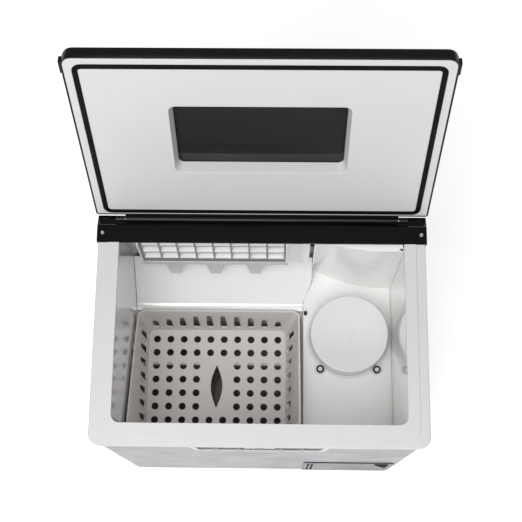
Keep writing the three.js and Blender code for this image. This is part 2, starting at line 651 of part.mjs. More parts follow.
// ---------- ice making ----------
// The grid's face leans forward towards its foot, and its shelves slope down towards the front.
function lean(geometry) {
  const shear = new THREE.Matrix4().set(
    1, 0, 0, 0,
    0, 1, GRID_LEAN, -GRID_LEAN * GRID_TOP_Z,
    0, GRID_FIN_SLOPE, 1, -GRID_FIN_SLOPE * GRID_REAR,
    0, 0, 0, 1);
  return geometry.applyMatrix4(shear);
}

function addEvaporator() {
  const left = GRID_CENTRE_X - GRID_WIDTH / 2;
  const right = left + GRID_WIDTH;
  const slab = block(left - GRID_FIN / 2, right + GRID_FIN / 2, GRID_FRONT, GRID_REAR,
    GRID_FOOT_Z - GRID_FIN / 2, GRID_TOP_Z);
  const cells = [];
  for (let column = 0; column < GRID_COLUMNS; column++) {
    for (let row = 0; row < GRID_ROWS; row++) {
      const x = left + column * GRID_COLUMN_PITCH;
      const z = GRID_FOOT_Z + row * GRID_ROW_PITCH;
      cells.push(block(x + GRID_FIN / 2, x + GRID_COLUMN_PITCH - GRID_FIN / 2, GRID_FRONT - 1,
        GRID_REAR - GRID_FIN, z + GRID_FIN / 2, z + GRID_ROW_PITCH - GRID_FIN / 2));
    }
  }
  addPart("evaporator_grid", lean(cut(slab, ...cells)), STEEL);
  const reach = GRID_FIN / 2 + FIT_GAP;
  for (const [place, x] of [["left", left - reach - BRACKET_WALL], ["right", right + reach]]) {
    const plate = polygon([GRID_FRONT - 3, GRID_FOOT_Z - 2], [GRID_REAR, GRID_FOOT_Z - 2],
      [GRID_REAR, GRID_TOP_Z], [GRID_FRONT - 6, GRID_TOP_Z]);
    const bracket = alongX(prism(plate, x, x + BRACKET_WALL));
    const screenRight = DECK_NECK - SCREEN_GAP;
    const screen = block(x + BRACKET_WALL / 2, screenRight, GRID_FRONT - 3, GRID_FRONT - 1,
      GRID_FOOT_Z - 2, GRID_TOP_Z + SCREEN_RISE);
    const whole = place === "right" ? join(bracket, screen) : bracket;
    addPart(`evaporator_bracket_${place}`, lean(whole), WHITE);
  }
  const sprayZ = GRID_TOP_Z + SPRAY_RADIUS + FIT_GAP;
  const sprayY = GRID_FRONT + 6;
  addPart("spray_bar", rodX(sprayY, sprayZ, SPRAY_RADIUS, left, right + 9, 12), WHITE);
}

function addDripGutter() {
  const left = GRID_CENTRE_X - GRID_WIDTH / 2 - 4;
  const right = GRID_CENTRE_X + GRID_WIDTH / 2 + 4;
  const front = GRID_FRONT - GRID_LEAN * GRID_HEIGHT - 3;
  const lipZ = GRID_FOOT_Z - 8;
  const floorZ = lipZ - 10;
  const wall = 1.6;
  const profile = polygon([front, lipZ], [front, floorZ], [GRID_REAR - 2, floorZ], [GRID_REAR - 2, lipZ],
    [GRID_REAR - 2 - wall, lipZ], [GRID_REAR - 2 - wall, floorZ + wall], [front + wall, floorZ + wall],
    [front + wall, lipZ]);
  const gutter = alongX(prism(profile, left, right));
  const tabCount = 3;
  const tabPitch = 46.7;
  const tabs = [];
  for (let i = 0; i < tabCount; i++) {
    const x = GRID_CENTRE_X + (i - 1) * tabPitch;
    const section = (half, y) =>
      polygon([x - half, y], [x + half, y], [x + half, y + wall], [x - half, y + wall]);
    const tab = loft([{ z: floorZ - 18, outline: section(6, front - 6) },
      { z: floorZ + 3, outline: section(11, front) }]);
    tabs.push(tab);
  }
  addPart("drip_gutter", join(gutter, ...tabs), WHITE);
}

function leafOutline(cx, cy, length, width) {
  const points = [];
  const steps = 6;
  for (const side of [1, -1]) {
    for (let i = 0; i < steps; i++) {
      const t = i / steps;
      const along = side * (t - 0.5) * length;
      points.push(new THREE.Vector2(cx + side * Math.sin(Math.PI * t) * width / 2, cy + along));
    }
  }
  return points;
}

// The rim lies on a plane that rises from the rear to the front.
function rimZ(y) {
  const rearZ = TOP - BASKET_REAR_RIM_DROP;
  const frontZ = TOP - BASKET_FRONT_RIM_DROP;
  return rearZ + (frontZ - rearZ) * (BAY_REAR - y) / (BAY_REAR - BAY_FRONT);
}

const BASKET_RIM = {
  left: BAY_LEFT + BASKET_GAP, right: BAY_RIGHT - BASKET_GAP,
  front: BAY_FRONT + BASKET_GAP, rear: BAY_REAR - BASKET_GAP,
};
const BASKET_FOOT = {
  left: BASKET_RIM.left + BASKET_FLARE.left, right: BASKET_RIM.right - BASKET_FLARE.right,
  front: BASKET_RIM.front + BASKET_FLARE.front, rear: BASKET_RIM.rear - BASKET_FLARE.rear,
};

function basketOutline(sides, shrink) {
  return roundedRect(sides.left + shrink, sides.right - shrink, sides.front + shrink, sides.rear - shrink,
    BASKET_CORNER - shrink);
}

function wallHoleOutline(middle, height) {
  const half = WALL_HOLE_WIDTH / 2;
  const low = BASKET_FLOOR_Z + WALL_HOLE_FOOT;
  const high = low + height;
  return polygon([middle + half, low + half], [middle + half, high - half], [middle + half / 2, high],
    [middle - half / 2, high], [middle - half, high - half], [middle - half, low + half],
    [middle - half / 2, low], [middle + half / 2, low]);
}

function basketHoles() {
  const tools = [];
  const centreX = (BASKET_FOOT.left + BASKET_FOOT.right) / 2;
  const firstRow = BASKET_FOOT.rear - BASKET_WALL - HOLE_MARGIN;
  const z0 = BASKET_FLOOR_Z - BASKET_WALL - 1;
  const z1 = BASKET_FLOOR_Z + 1;
  const columnX = (column) => centreX + (column - (HOLE_COLUMNS - 1) / 2) * HOLE_PITCH;
  const rowY = (row) => firstRow - row * HOLE_PITCH;
  const beside = (column) => Math.min(column, HOLE_COLUMNS - 1 - column);
  for (let column = 0; column < HOLE_COLUMNS; column++) {
    const x = columnX(column);
    for (let row = 0; row < HOLE_ROWS; row++) {
      const inSlotRows = row >= LIFT_SLOT_ROWS[0] && row <= LIFT_SLOT_ROWS[1];
      if (inSlotRows && LIFT_SLOT_COLUMNS.includes(column)) continue;
      tools.push(prism(ellipse(x, rowY(row), HOLE_RADIUS, HOLE_RADIUS, 8), z0, z1));
    }
    const outline = wallHoleOutline(-x, WALL_HOLE_HEIGHTS[beside(column)]);
    tools.push(alongY(prism(outline, BAY_FRONT - 1, BAY_REAR + 1)));
  }
  for (let row = 0; row < HOLE_ROWS; row++) {
    const outline = wallHoleOutline(rowY(row), WALL_HOLE_HEIGHTS.at(-1));
    tools.push(alongX(prism(outline, BAY_LEFT - 1, BAY_RIGHT + 1)));
  }
  const middleRow = (LIFT_SLOT_ROWS[0] + LIFT_SLOT_ROWS[1]) / 2;
  tools.push(prism(leafOutline(centreX, rowY(middleRow), SLOT_LENGTH, SLOT_WIDTH), z0, z1));
  return tools;
}

function addBasket() {
  const skin = loft([{ z: BASKET_FLOOR_Z - BASKET_WALL, outline: basketOutline(BASKET_FOOT, 0) },
    { z: (p) => rimZ(p.y), outline: basketOutline(BASKET_RIM, 0) }]);
  const hollow = loft([{ z: BASKET_FLOOR_Z, outline: basketOutline(BASKET_FOOT, BASKET_WALL) },
    { z: (p) => rimZ(p.y) + 1, outline: basketOutline(BASKET_RIM, BASKET_WALL) }]);
  addPart("ice_basket", cut(skin, hollow, ...basketHoles()), BASKET_GREY);
}

function addIceSensor() {
  const z = DECK_Z + FIT_GAP;
  const y = BAY_REAR - 9.5;
  const x = DECK_LEFT + 0.6;
  const housing = block(x, x + 3.6, y, y + 4.6, z, z + 3.4);
  const eye = rodX(y + 2.3, z + 1.8, 0.9, x - 1, x + 1.2, 8);
  addPart("ice_sensor", cut(housing, eye), DARK_PLASTIC);
}

// ---------- lid ----------
const LID_FACE = HINGE_DROP + LID_FACE_GAP;
const LID_REAR = -HINGE_BACK + 0.4;

const LID_WIDTH = BODY_WIDTH + LID_OVERHANG;

// The front corners are round, and the two by the hinge are nearly square.
function lidOutline(grow) {
  const at = [-LID_WIDTH / 2 - grow, LID_WIDTH / 2 + grow, LID_REAR - LID_LENGTH - grow, LID_REAR + grow];
  const quarter = 7;
  const rear = roundedRect(...at, Math.max(LID_REAR_CORNER + grow, 0.3), quarter - 1);
  const front = roundedRect(...at, LID_CORNER + grow, quarter - 1);
  return [...rear.slice(0, 2 * quarter), ...front.slice(2 * quarter)];
}

function windowOutline(grow) {
  const rear = LID_REAR - WINDOW_REAR;
  return roundedRect(-WINDOW_WIDTH / 2 - grow, WINDOW_WIDTH / 2 + grow, rear - WINDOW_LENGTH - grow,
    rear + grow, WINDOW_CORNER + grow * 0.5, 4);
}

function gasketOutline(grow) {
  const half = LID_WIDTH / 2 - GASKET_INSET + grow;
  return roundedRect(-half, half, LID_REAR - LID_LENGTH + GASKET_INSET - grow,
    LID_REAR - GASKET_REAR_INSET + grow, GASKET_CORNER + grow, 4);
}

function addLidShell(lid) {
  const face = LID_FACE;
  const crown = face + LID_THICKNESS;
  const skin = loft([{ z: face, outline: lidOutline(0) }, { z: face + 9, outline: lidOutline(0) },
    { z: face + 13, outline: lidOutline(-1) }, { z: crown - 2, outline: lidOutline(-4) },
    { z: crown, outline: lidOutline(-8) }]);
  const ceiling = crown - LID_TOP_WALL;
  const hollow = loft([{ z: face - 1, outline: lidOutline(-LID_WALL) },
    { z: face + 8, outline: lidOutline(-LID_WALL) }, { z: face + 12, outline: lidOutline(-2.6) },
    { z: ceiling, outline: lidOutline(-7) }]);
  const opening = prism(windowOutline(-2), ceiling - 1, crown + 1);
  const barrelEnd = KNUCKLE_INNER - 0.5;
  const barrel = rodX(0, 0, HINGE_RADIUS, -barrelEnd, barrelEnd, 20);
  const leaf = block(-barrelEnd, barrelEnd, LID_REAR - LID_WALL, 1.5, 0, face + 5);
  const grips = [-1, 1].map((side) => {
    const x = side * (LID_WIDTH / 2 - 0.5);
    const y = LID_REAR - LID_LENGTH + 7;
    return block(Math.min(x, x + side * 2.2), Math.max(x, x + side * 2.2), y, y + 15, face + 1, face + 8);
  });
  const bores = [-barrelEnd - 1, barrelEnd - 11].map((x) =>
    rodX(0, 0, PIN_RADIUS + PIN_CLEARANCE, x, x + 12));
  const shell = cut(skin, hollow, opening);
  addPart("lid_shell", cut(join(shell, barrel, leaf, ...grips), ...bores), BLACK_GLOSS, lid);
}

function addLidLiner(lid) {
  const face = LID_FACE;
  const inset = -LID_WALL - FIT_GAP;
  const plate = prism(lidOutline(inset), face, face + LINER_PLATE);
  const channel = cut(prism(gasketOutline(2), face + 0.5, face + GASKET_DEPTH + 2.2),
    prism(gasketOutline(-GASKET_WIDTH - 2), face, face + GASKET_DEPTH + 4));
  const groove = cut(prism(gasketOutline(FIT_GAP / 2), face - 1, face + GASKET_DEPTH),
    prism(gasketOutline(-GASKET_WIDTH - FIT_GAP / 2), face - 2, face + GASKET_DEPTH + 1));
  const lensZ = face + LID_THICKNESS - LID_TOP_WALL - LENS_WALL - 3 * FIT_GAP;
  const funnel = loft([{ z: face, outline: windowOutline(WINDOW_FLARE + 1.6) },
    { z: lensZ, outline: windowOutline(1.6) }]);
  const throat = loft([{ z: face - 1, outline: windowOutline(WINDOW_FLARE) },
    { z: lensZ + 1, outline: windowOutline(0) }]);
  addPart("lid_liner", cut(join(plate, channel, funnel), groove, throat), LID_GREY, lid);
}

function addLid() {
  const lid = new THREE.Group();
  lid.position.set(0, HINGE_Y, HINGE_Z);
  lid.rotation.x = -THREE.MathUtils.degToRad(LID_OPEN_ANGLE);
  machine.add(lid);
  addLidShell(lid);
  addLidLiner(lid);
  const face = LID_FACE;
  const gasket = cut(prism(gasketOutline(0), face - GASKET_PROUD, face + GASKET_DEPTH - FIT_GAP),
    prism(gasketOutline(-GASKET_WIDTH), face - 3, face + GASKET_DEPTH + 1));
  addPart("lid_gasket", gasket, BLACK_RUBBER, lid);
  const lensZ = face + LID_THICKNESS - LID_TOP_WALL - LENS_WALL - 2 * FIT_GAP;
  addPart("lid_window", prism(windowOutline(3), lensZ, lensZ + LENS_WALL), SMOKE, lid);
}

// ---------- controls ----------
function addControls() {
  const face = PANEL_FRONT - CONTROL_PROUD;
  const back = PANEL_FRONT - FIT_GAP;
  const innerOutline = grown(controlOutline(0), -CONTROL_RIM);
  const bezel = cut(alongY(prism(controlOutline(0), face, back)),
    alongY(prism(innerOutline, face - 1, back + 1)));
  addPart("control_bezel", bezel, WHITE);
  const fasciaBack = PANEL_FRONT + PANEL_WALL + 1;
  const fascia = alongY(prism(grown(innerOutline, -FIT_GAP), face + 1, fasciaBack));
  const pitch = (CONTROL_WIDTH - 2 * CONTROL_RIM - 2 * CONTROL_TAPER - 14) / BUTTON_COUNT;
  const buttonZ = CONTROL_Z - 8;
  const displayZ = CONTROL_Z + 8;
  const buttonX = (i) => (i - (BUTTON_COUNT - 1) / 2) * pitch;
  const bores = [];
  for (let i = 0; i < BUTTON_COUNT; i++) {
    bores.push(rodY(buttonX(i), buttonZ, BUTTON_RADIUS + BUTTON_CLEARANCE, face, fasciaBack + 1, 20));
  }
  const displayHole = block(-DISPLAY_WIDTH / 2 - FIT_GAP, DISPLAY_WIDTH / 2 + FIT_GAP, face, fasciaBack + 1,
    displayZ - DISPLAY_HEIGHT / 2 - FIT_GAP, displayZ + DISPLAY_HEIGHT / 2 + FIT_GAP);
  addPart("control_fascia", cut(fascia, displayHole, ...bores), DARK_PLASTIC);
  addPart("display_lens", block(-DISPLAY_WIDTH / 2, DISPLAY_WIDTH / 2, face + 0.7, fasciaBack,
    displayZ - DISPLAY_HEIGHT / 2, displayZ + DISPLAY_HEIGHT / 2), SMOKE);
  for (let i = 0; i < BUTTON_COUNT; i++) {
    addPart(`button_${i + 1}`, rodY(buttonX(i), buttonZ, BUTTON_RADIUS, face - 0.4, fasciaBack + 2, 20), STEEL);
  }
  const boardY = fasciaBack + 2 + BUTTON_TRAVEL + 2;
  addPart("control_board", block(-CONTROL_WIDTH / 2 + 14, CONTROL_WIDTH / 2 - 14, boardY, boardY + 1.6,
    CONTROL_Z - CONTROL_HEIGHT / 2 + 4, CONTROL_Z + CONTROL_HEIGHT / 2 - 4), BOARD_GREEN);
}

function addAccessPanel() {
  const face = PANEL_FRONT - 1.4;
  const back = PANEL_FRONT - FIT_GAP;
  const plate = block(ACCESS_LEFT, ACCESS_RIGHT, face, back, ACCESS_LOW, ACCESS_HIGH);
  const slots = [0, 1].map((i) => block(ACCESS_LEFT + 5 + 5 * i, ACCESS_LEFT + 7.4 + 5 * i, face - 1, back + 1,
    ACCESS_LOW + 10, ACCESS_HIGH - 10));
  addPart("front_access_panel", cut(plate, ...slots), SILVER);
  const pullRight = ACCESS_RIGHT - 6;
  const pullTop = ACCESS_HIGH - 8;
  const pull = polygon([-pullRight, pullTop], [-pullRight, pullTop - 3 * ACCESS_PULL_WIDTH],
    [-pullRight + ACCESS_PULL_WIDTH, pullTop]);
  addPart("access_pull", alongY(prism(pull, face - 1.2, face - FIT_GAP)), PAINTED_BLACK);
}

// ---------- refrigeration and water ----------
function addCompressor() {
  const foot = PAN_TOP_Z + 12;
  const head = foot + COMPRESSOR_HEIGHT;
  const r = COMPRESSOR_RADIUS;
  const pot = turned([[r * 0.5, foot], [r * 0.85, foot + 4], [r, foot + 14], [r, head - 22], [r * 0.92, head - 12],
    [r * 0.7, head - 4], [r * 0.3, head]], DOME_X, DOME_Y, 20);
  const seam = turned([[r + 1.5, foot + 60], [r + 1.5, foot + 64]], DOME_X, DOME_Y, 20);
  addPart("compressor", join(pot, seam), PAINTED_BLACK);
  const plate = block(DOME_X - 40, DOME_X + 40, DOME_Y - 40, DOME_Y + 40, foot - 3, foot - FIT_GAP);
  const legs = [-1, 1].flatMap((sx) => [-1, 1].map((sy) =>
    turned([[6, PAN_TOP_Z + FIT_GAP], [6, foot - 2]], DOME_X + sx * 33, DOME_Y + sy * 33, 12)));
  addPart("compressor_mount", join(plate, ...legs), GALVANISED);
}

function addCondenser() {
  const foot = PAN_TOP_Z + FIT_GAP;
  const left = FAN_X - CONDENSER_WIDTH / 2;
  const slab = block(left, left + CONDENSER_WIDTH, CONDENSER_FRONT, CONDENSER_REAR,
    foot, foot + CONDENSER_HEIGHT);
  const pitch = (CONDENSER_WIDTH - 8) / CONDENSER_SLOTS;
  const slots = [];
  for (let i = 0; i < CONDENSER_SLOTS; i++) {
    const x = left + 5 + i * pitch;
    slots.push(block(x, x + pitch - 2, CONDENSER_FRONT - 1, CONDENSER_REAR + 1,
      foot + 6, foot + CONDENSER_HEIGHT - 6));
  }
  addPart("condenser", cut(slab, ...slots), GALVANISED);
}

function fanBlade(angle, y0) {
  const reach = FAN_RADIUS;
  const half = 0.34;
  const points = [];
  const steps = 4;
  const hub = 12;
  points.push(new THREE.Vector2(hub * Math.cos(-half), hub * Math.sin(-half)));
  for (let i = 0; i <= steps; i++) {
    const a = -half + 2 * half * i / steps;
    points.push(new THREE.Vector2(reach * Math.cos(a), reach * Math.sin(a)));
  }
  points.push(new THREE.Vector2(hub * Math.cos(half), hub * Math.sin(half)));
  const blade = prism(points, 0, 1.6);
  blade.rotateX(0.32);
  blade.rotateZ(angle);
  return alongY(blade).translate(FAN_X, y0 + FAN_DEPTH / 2, FAN_Z);
}

function addFan() {
  const shroudRear = CONDENSER_FRONT - FIT_GAP;
  const bore = FAN_RADIUS + FAN_CLEARANCE;
  const half = bore + 5;
  const plate = block(FAN_X - half, FAN_X + half, shroudRear - 2, shroudRear, FAN_Z - half, FAN_Z + half);
  const collar = rodY(FAN_X, FAN_Z, bore + 2, shroudRear - 14, shroudRear - 1, 32);
  const hole = rodY(FAN_X, FAN_Z, bore, shroudRear - 20, shroudRear + 1, 32);
  addPart("fan_shroud", cut(join(plate, collar), hole), PAINTED_BLACK);
  const bladeY = shroudRear - 13;
  const hub = rodY(FAN_X, FAN_Z, 14, bladeY - 1, bladeY + FAN_DEPTH + 1, 20);
  const shaft = rodY(FAN_X, FAN_Z, 2.5, bladeY - 9, bladeY, 12);
  const blades = [];
  for (let i = 0; i < FAN_BLADES; i++) {
    blades.push(fanBlade(i / FAN_BLADES * 2 * Math.PI, bladeY));
  }
  addPart("fan_rotor", join(hub, shaft, ...blades), DARK_PLASTIC);
  const motorRear = bladeY - 2;
  const motor = rodY(FAN_X, FAN_Z, 15, motorRear - 12, motorRear, 20);
  const arm = block(FAN_X - half, FAN_X + half, motorRear - 5, motorRear - 2.5, FAN_Z - 5, FAN_Z + 5);
  const well = rodY(FAN_X, FAN_Z, 3, motorRear - 9, motorRear + 1, 12);
  addPart("fan_motor", cut(join(motor, arm), well), PAINTED_BLACK);
}

const PUMP_X = BAY_RIGHT - 26;
const PUMP_Y = BAY_FRONT + 30;

function addPump() {
  const head = BAY_FLOOR_Z - CABIN_WALL - FIT_GAP;
  const roof = head - 4;
  const foot = roof - PUMP_HEIGHT;
  const casing = turned([[PUMP_RADIUS, foot], [PUMP_RADIUS, roof]], PUMP_X, PUMP_Y);
  const neck = turned([[7, roof - 1], [7, head]], PUMP_X, PUMP_Y, 16);
  const chamber = turned([[PUMP_RADIUS - 3, roof - 14], [PUMP_RADIUS - 3, roof - 2]], PUMP_X, PUMP_Y);
  const inlet = turned([[4.5, roof - 3], [4.5, head + 1]], PUMP_X, PUMP_Y, 12);
  addPart("water_pump", cut(join(casing, neck), chamber, inlet), DARK_PLASTIC);
  const disc = turned([[PUMP_RADIUS - 6, roof - 12.5], [PUMP_RADIUS - 6, roof - 10.5]], PUMP_X, PUMP_Y);
  const vanes = [0, 1].map((i) => block(-PUMP_RADIUS + 7, PUMP_RADIUS - 7, -0.8, 0.8, roof - 11, roof - 5)
    .rotateZ(i * Math.PI / 2).translate(PUMP_X, PUMP_Y, 0));
  addPart("pump_impeller", join(disc, ...vanes), WHITE);
}

function addTubes() {
  const compressorTop = PAN_TOP_Z + 12 + COMPRESSOR_HEIGHT;
  const gridEnd = GRID_CENTRE_X + GRID_WIDTH / 2;
  const tubeX = DOME_X - 12;
  addPart("suction_tube", tube([
    [gridEnd + 4, GRID_FRONT + 7, GRID_TOP_Z - 40], [gridEnd + 30, GRID_FRONT + 7, GRID_TOP_Z - 40],
    [tubeX - 8, GRID_FRONT + 5, GRID_TOP_Z - 46], [tubeX, GRID_FRONT + 4, GRID_TOP_Z - 70],
    [tubeX, GRID_FRONT + 3, SHELF_Z + 10], [tubeX + 2, GRID_FRONT - 8, SHELF_Z - 12],
    [DOME_X - 1, DOME_Y + 50, SHELF_Z - 8], [DOME_X, DOME_Y + 24, SHELF_Z - 8],
    [DOME_X, DOME_Y + 16, compressorTop + 8], [DOME_X, DOME_Y + 16, compressorTop + 2]], TUBE_RADIUS), COPPER);
  const condenserEnd = FAN_X + CONDENSER_WIDTH / 2;
  const condenserTop = PAN_TOP_Z + CONDENSER_HEIGHT;
  addPart("discharge_tube", tube([
    [DOME_X, DOME_Y - 14, compressorTop + 2], [DOME_X - 4, DOME_Y - 6, compressorTop + 9],
    [DOME_X - 24, DOME_Y + 30, compressorTop + 9], [DECK_LEFT + 10, BAY_REAR + 14, compressorTop + 4],
    [DECK_LEFT - 4, BAY_REAR + 32, condenserTop - 4], [condenserEnd + 14, CONDENSER_FRONT + 8, condenserTop - 12],
    [condenserEnd + 0.8, CONDENSER_FRONT + 9, condenserTop - 14]], TUBE_RADIUS), COPPER);
  const sprayZ = GRID_TOP_Z + SPRAY_RADIUS + FIT_GAP;
  const hoseX = DECK_RIGHT - 18;
  const laneX = DECK_LEFT + 4;
  addPart("water_hose", tube([
    [gridEnd + 9.8, GRID_FRONT + 6, sprayZ], [gridEnd + 14, GRID_FRONT + 6, sprayZ],
    [gridEnd + 24, GRID_FRONT + 7, sprayZ - 5],
    [gridEnd + 40, GRID_FRONT + 9, sprayZ - 12],
    [hoseX - 20, GRID_FRONT + 6, sprayZ - 13], [hoseX - 4, GRID_FRONT + 1, sprayZ - 20],
    [hoseX, GRID_FRONT - 2, sprayZ - 46], [hoseX, GRID_FRONT - 4, SHELF_Z], [hoseX, GRID_FRONT - 6, PAN_TOP_Z + 70],
    [hoseX - 12, GRID_FRONT - 14, PAN_TOP_Z + 42], [hoseX - 42, GRID_FRONT - 26, PAN_TOP_Z + 36],
    [laneX + 6, BAY_REAR + 10, PAN_TOP_Z + 44], [laneX, BAY_REAR - 8, PAN_TOP_Z + 52],
    [laneX, PUMP_Y + 30, PAN_TOP_Z + 60], [laneX - 2, PUMP_Y + 5, PAN_TOP_Z + 70],
    [PUMP_X + PUMP_RADIUS + 5, PUMP_Y, PAN_TOP_Z + 70], [PUMP_X + PUMP_RADIUS + 1, PUMP_Y, PAN_TOP_Z + 70],
  ], HOSE_RADIUS, 6, 40), WHITE);
}

function addDrain() {
  const end = REAR + 1;
  addPart("drain_spout", tube([
    [BAY_LEFT + 30, BAY_REAR - 30, BAY_FLOOR_Z - CABIN_WALL - 1], [BAY_LEFT + 30, BAY_REAR - 30, BAY_FLOOR_Z - 14],
    [BAY_LEFT + 18, BAY_REAR - 6, BAY_FLOOR_Z - 46], [SPOUT_X, BAY_REAR + 24, SPOUT_Z + 4],
    [SPOUT_X, BAY_REAR + 44, SPOUT_Z], [SPOUT_X, end, SPOUT_Z]], SPOUT_RADIUS, 8, 20), WHITE);
  const cup = rodY(SPOUT_X, SPOUT_Z, SPOUT_RADIUS + 3, PANEL_REAR + FIT_GAP, end + 4, 20);
  const well = rodY(SPOUT_X, SPOUT_Z, SPOUT_RADIUS + 0.8, PANEL_REAR, end + 1, 20);
  addPart("drain_cap", cut(cup, well), BLACK_RUBBER);
}

function addElectrics() {
  const x0 = BAY_LEFT + 8;
  const boardZ = PAN_TOP_Z + 10;
  const board = block(x0, x0 + 90, BAY_FRONT + 12, BAY_FRONT + 72, boardZ, boardZ + 1.6);
  const chips = [[10, 16, 26, 18, 20], [44, 12, 20, 34, 14], [70, 18, 14, 14, 24]].map(([x, y, w, d, h]) =>
    block(x0 + x, x0 + x + w, BAY_FRONT + 12 + y, BAY_FRONT + 12 + y + d, boardZ + 1, boardZ + 1.6 + h));
  const posts = [[4, 4], [86, 4], [4, 56], [86, 56]].map(([x, y]) =>
    turned([[3, PAN_TOP_Z + FIT_GAP], [3, boardZ + 1]], x0 + x, BAY_FRONT + 12 + y, 8));
  addPart("main_board", join(board, ...chips, ...posts), BOARD_GREEN);
  const body = block(INLET_X - INLET_WIDTH / 2, INLET_X + INLET_WIDTH / 2, PANEL_REAR - 22, PANEL_REAR + 1.5,
    INLET_Z - INLET_HEIGHT / 2, INLET_Z + INLET_HEIGHT / 2);
  const socket = block(INLET_X - INLET_WIDTH / 2 + 2.5, INLET_X + INLET_WIDTH / 2 - 2.5, PANEL_REAR - 14, REAR,
    INLET_Z - INLET_HEIGHT / 2 + 2.5, INLET_Z + INLET_HEIGHT / 2 - 2.5);
  const pins = [-7, 0, 7].map((x) => block(INLET_X + x - 1, INLET_X + x + 1, PANEL_REAR - 15, PANEL_REAR - 3,
    INLET_Z - 3, INLET_Z + 3));
  addPart("power_inlet", join(cut(body, socket), ...pins), PAINTED_BLACK);
}

addFeet();
addBasePan();
addFrontPanel();
addSidePanels();
addRearPanel();
addTopFrame();
addHingeCover();
addCabinLiner();
addDeckCover();
addDomeCover();
addIceChute();
addEvaporator();
addDripGutter();
addBasket();
addIceSensor();
addLid();
addControls();
addAccessPanel();
addCompressor();
addCondenser();
addFan();
addPump();
addTubes();
addDrain();
addElectrics();

// The origin is the bottom centre of the whole object with its lid open.
model.updateMatrixWorld(true);
const centre = new THREE.Box3().setFromObject(machine, true).getCenter(new THREE.Vector3());
machine.position.set(-centre.x, -centre.y, 0);

export default model;
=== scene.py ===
"""A portable countertop ice maker with its lid open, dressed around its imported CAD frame.

Metres, +Z up, front -Y.
"""

import math

import bmesh
import bpy
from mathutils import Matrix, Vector


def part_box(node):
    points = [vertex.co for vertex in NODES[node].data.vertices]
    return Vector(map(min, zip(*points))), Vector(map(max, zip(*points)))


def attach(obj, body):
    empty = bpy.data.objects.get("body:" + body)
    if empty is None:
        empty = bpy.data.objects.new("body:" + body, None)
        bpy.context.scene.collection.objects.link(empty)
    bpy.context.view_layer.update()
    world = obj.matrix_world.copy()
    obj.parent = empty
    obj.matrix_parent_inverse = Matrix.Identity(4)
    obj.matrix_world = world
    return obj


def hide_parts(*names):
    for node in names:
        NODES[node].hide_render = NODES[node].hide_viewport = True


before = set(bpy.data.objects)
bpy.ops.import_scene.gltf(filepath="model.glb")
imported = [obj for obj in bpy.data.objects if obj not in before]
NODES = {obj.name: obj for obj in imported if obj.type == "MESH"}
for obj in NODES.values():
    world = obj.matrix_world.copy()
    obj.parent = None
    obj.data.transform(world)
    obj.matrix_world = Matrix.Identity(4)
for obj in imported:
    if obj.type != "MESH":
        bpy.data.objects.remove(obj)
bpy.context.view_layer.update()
MM = 0.001

# The camera: its lens, its place from the middle of the top frame's upper face, and its turn in degrees.
CAMERA_LENS = 73.2
CAMERA_OFFSET = (0.018, -0.224, 1.104)
CAMERA_TURN = (15.088, 0.756, 0.691)

# The studio: the white world's strength, and the floor's half width, albedo and faint glow.
WORLD_STRENGTH = 0.34
FLOOR_HALF = 6
FLOOR_ALBEDO = 0.85
FLOOR_GLOW = 0.45

# The cabin walls: how far below the basket their painted shade starts, and where it is at its full tone.
SHADE_START = 22 * MM
SHADE_FULL = 36 * MM

# The evaporator grid: how far its face leans for each metre of height, how deep it is, and where the painted
# shade along the front edges of its fins lies behind that face.
GRID_LEAN = 0.08
GRID_DEPTH = 13.5 * MM
GRID_SHADE_EDGE = (0.6 * MM, 1.6 * MM)

# The basket: how far each wall flares out from its foot, its wall and corners, and how its rim slopes.
BASKET_FLARE_LEFT = 5.5 * MM
BASKET_FLARE_RIGHT = 14.5 * MM
BASKET_FLARE_FRONT = 10 * MM
BASKET_FLARE_REAR = 9.5 * MM
BASKET_WALL = 2 * MM
BASKET_CORNER = 10 * MM
RIM_SLOPE = 0.4197

# The basket's holes: round ones in the floor, upright ones in the walls, and a finger slot that takes the place
# of the round holes in its rows and columns.
HOLE_PITCH = 16.9 * MM
HOLE_RADIUS = 4.4 * MM
HOLE_COLUMNS = 10
HOLE_ROWS = 7
HOLE_MARGIN = 12 * MM
WALL_HOLE_HALF = 4.3 * MM
WALL_HOLE_FOOT = 9 * MM
WALL_HOLE_HEIGHTS = [h * MM for h in (24, 30, 36, 40, 42)]
SLOT_ROWS = (2, 5)
SLOT_COLUMNS = (4, 5)
SLOT_LENGTH = 54.5 * MM
SLOT_WIDTH = 14.6 * MM

# The dome's base ring and the washers under its screws: distances out from the rim or head, and heights.
DOME_SIDES = 64
DOME_RING = ((2.4 * MM, 0.0), (2.4 * MM, 1.0 * MM), (1.8 * MM, 1.6 * MM), (-0.4 * MM, 1.7 * MM))
DOME_RING_BORE = 1.2 * MM
WASHER = ((1.7 * MM, -0.1 * MM), (1.7 * MM, 0.35 * MM), (0.5 * MM, 0.5 * MM))
WASHER_BORE = 0.15 * MM

# The deck's back wall and the cabin wall beside it, and the sealing bead between them.
BAY_GAP = 1.8 * MM
DECK_WALL_SETBACK = 26.5 * MM
DECK_LEAN = 9 * MM
SIDE_BAR = 23 * MM
CABIN_DRAFT = 0.01
BEAD_GAP = 0.15 * MM
BEAD_WIDTH = 4.6 * MM
BEAD_WALL_SIDE = (-2.4 * MM, 1.6 * MM)
BEAD_FREE_SIDE = (0.4 * MM, -1.1 * MM)
BEAD_SINK = 0.3 * MM
BEAD_RIB = ((0.0, 0.0), (0.0, 1.6 * MM), (0.7 * MM, 0.9 * MM), (2.2 * MM, 0.0))
BEAD_ENDS = (11 * MM, 1.5 * MM)

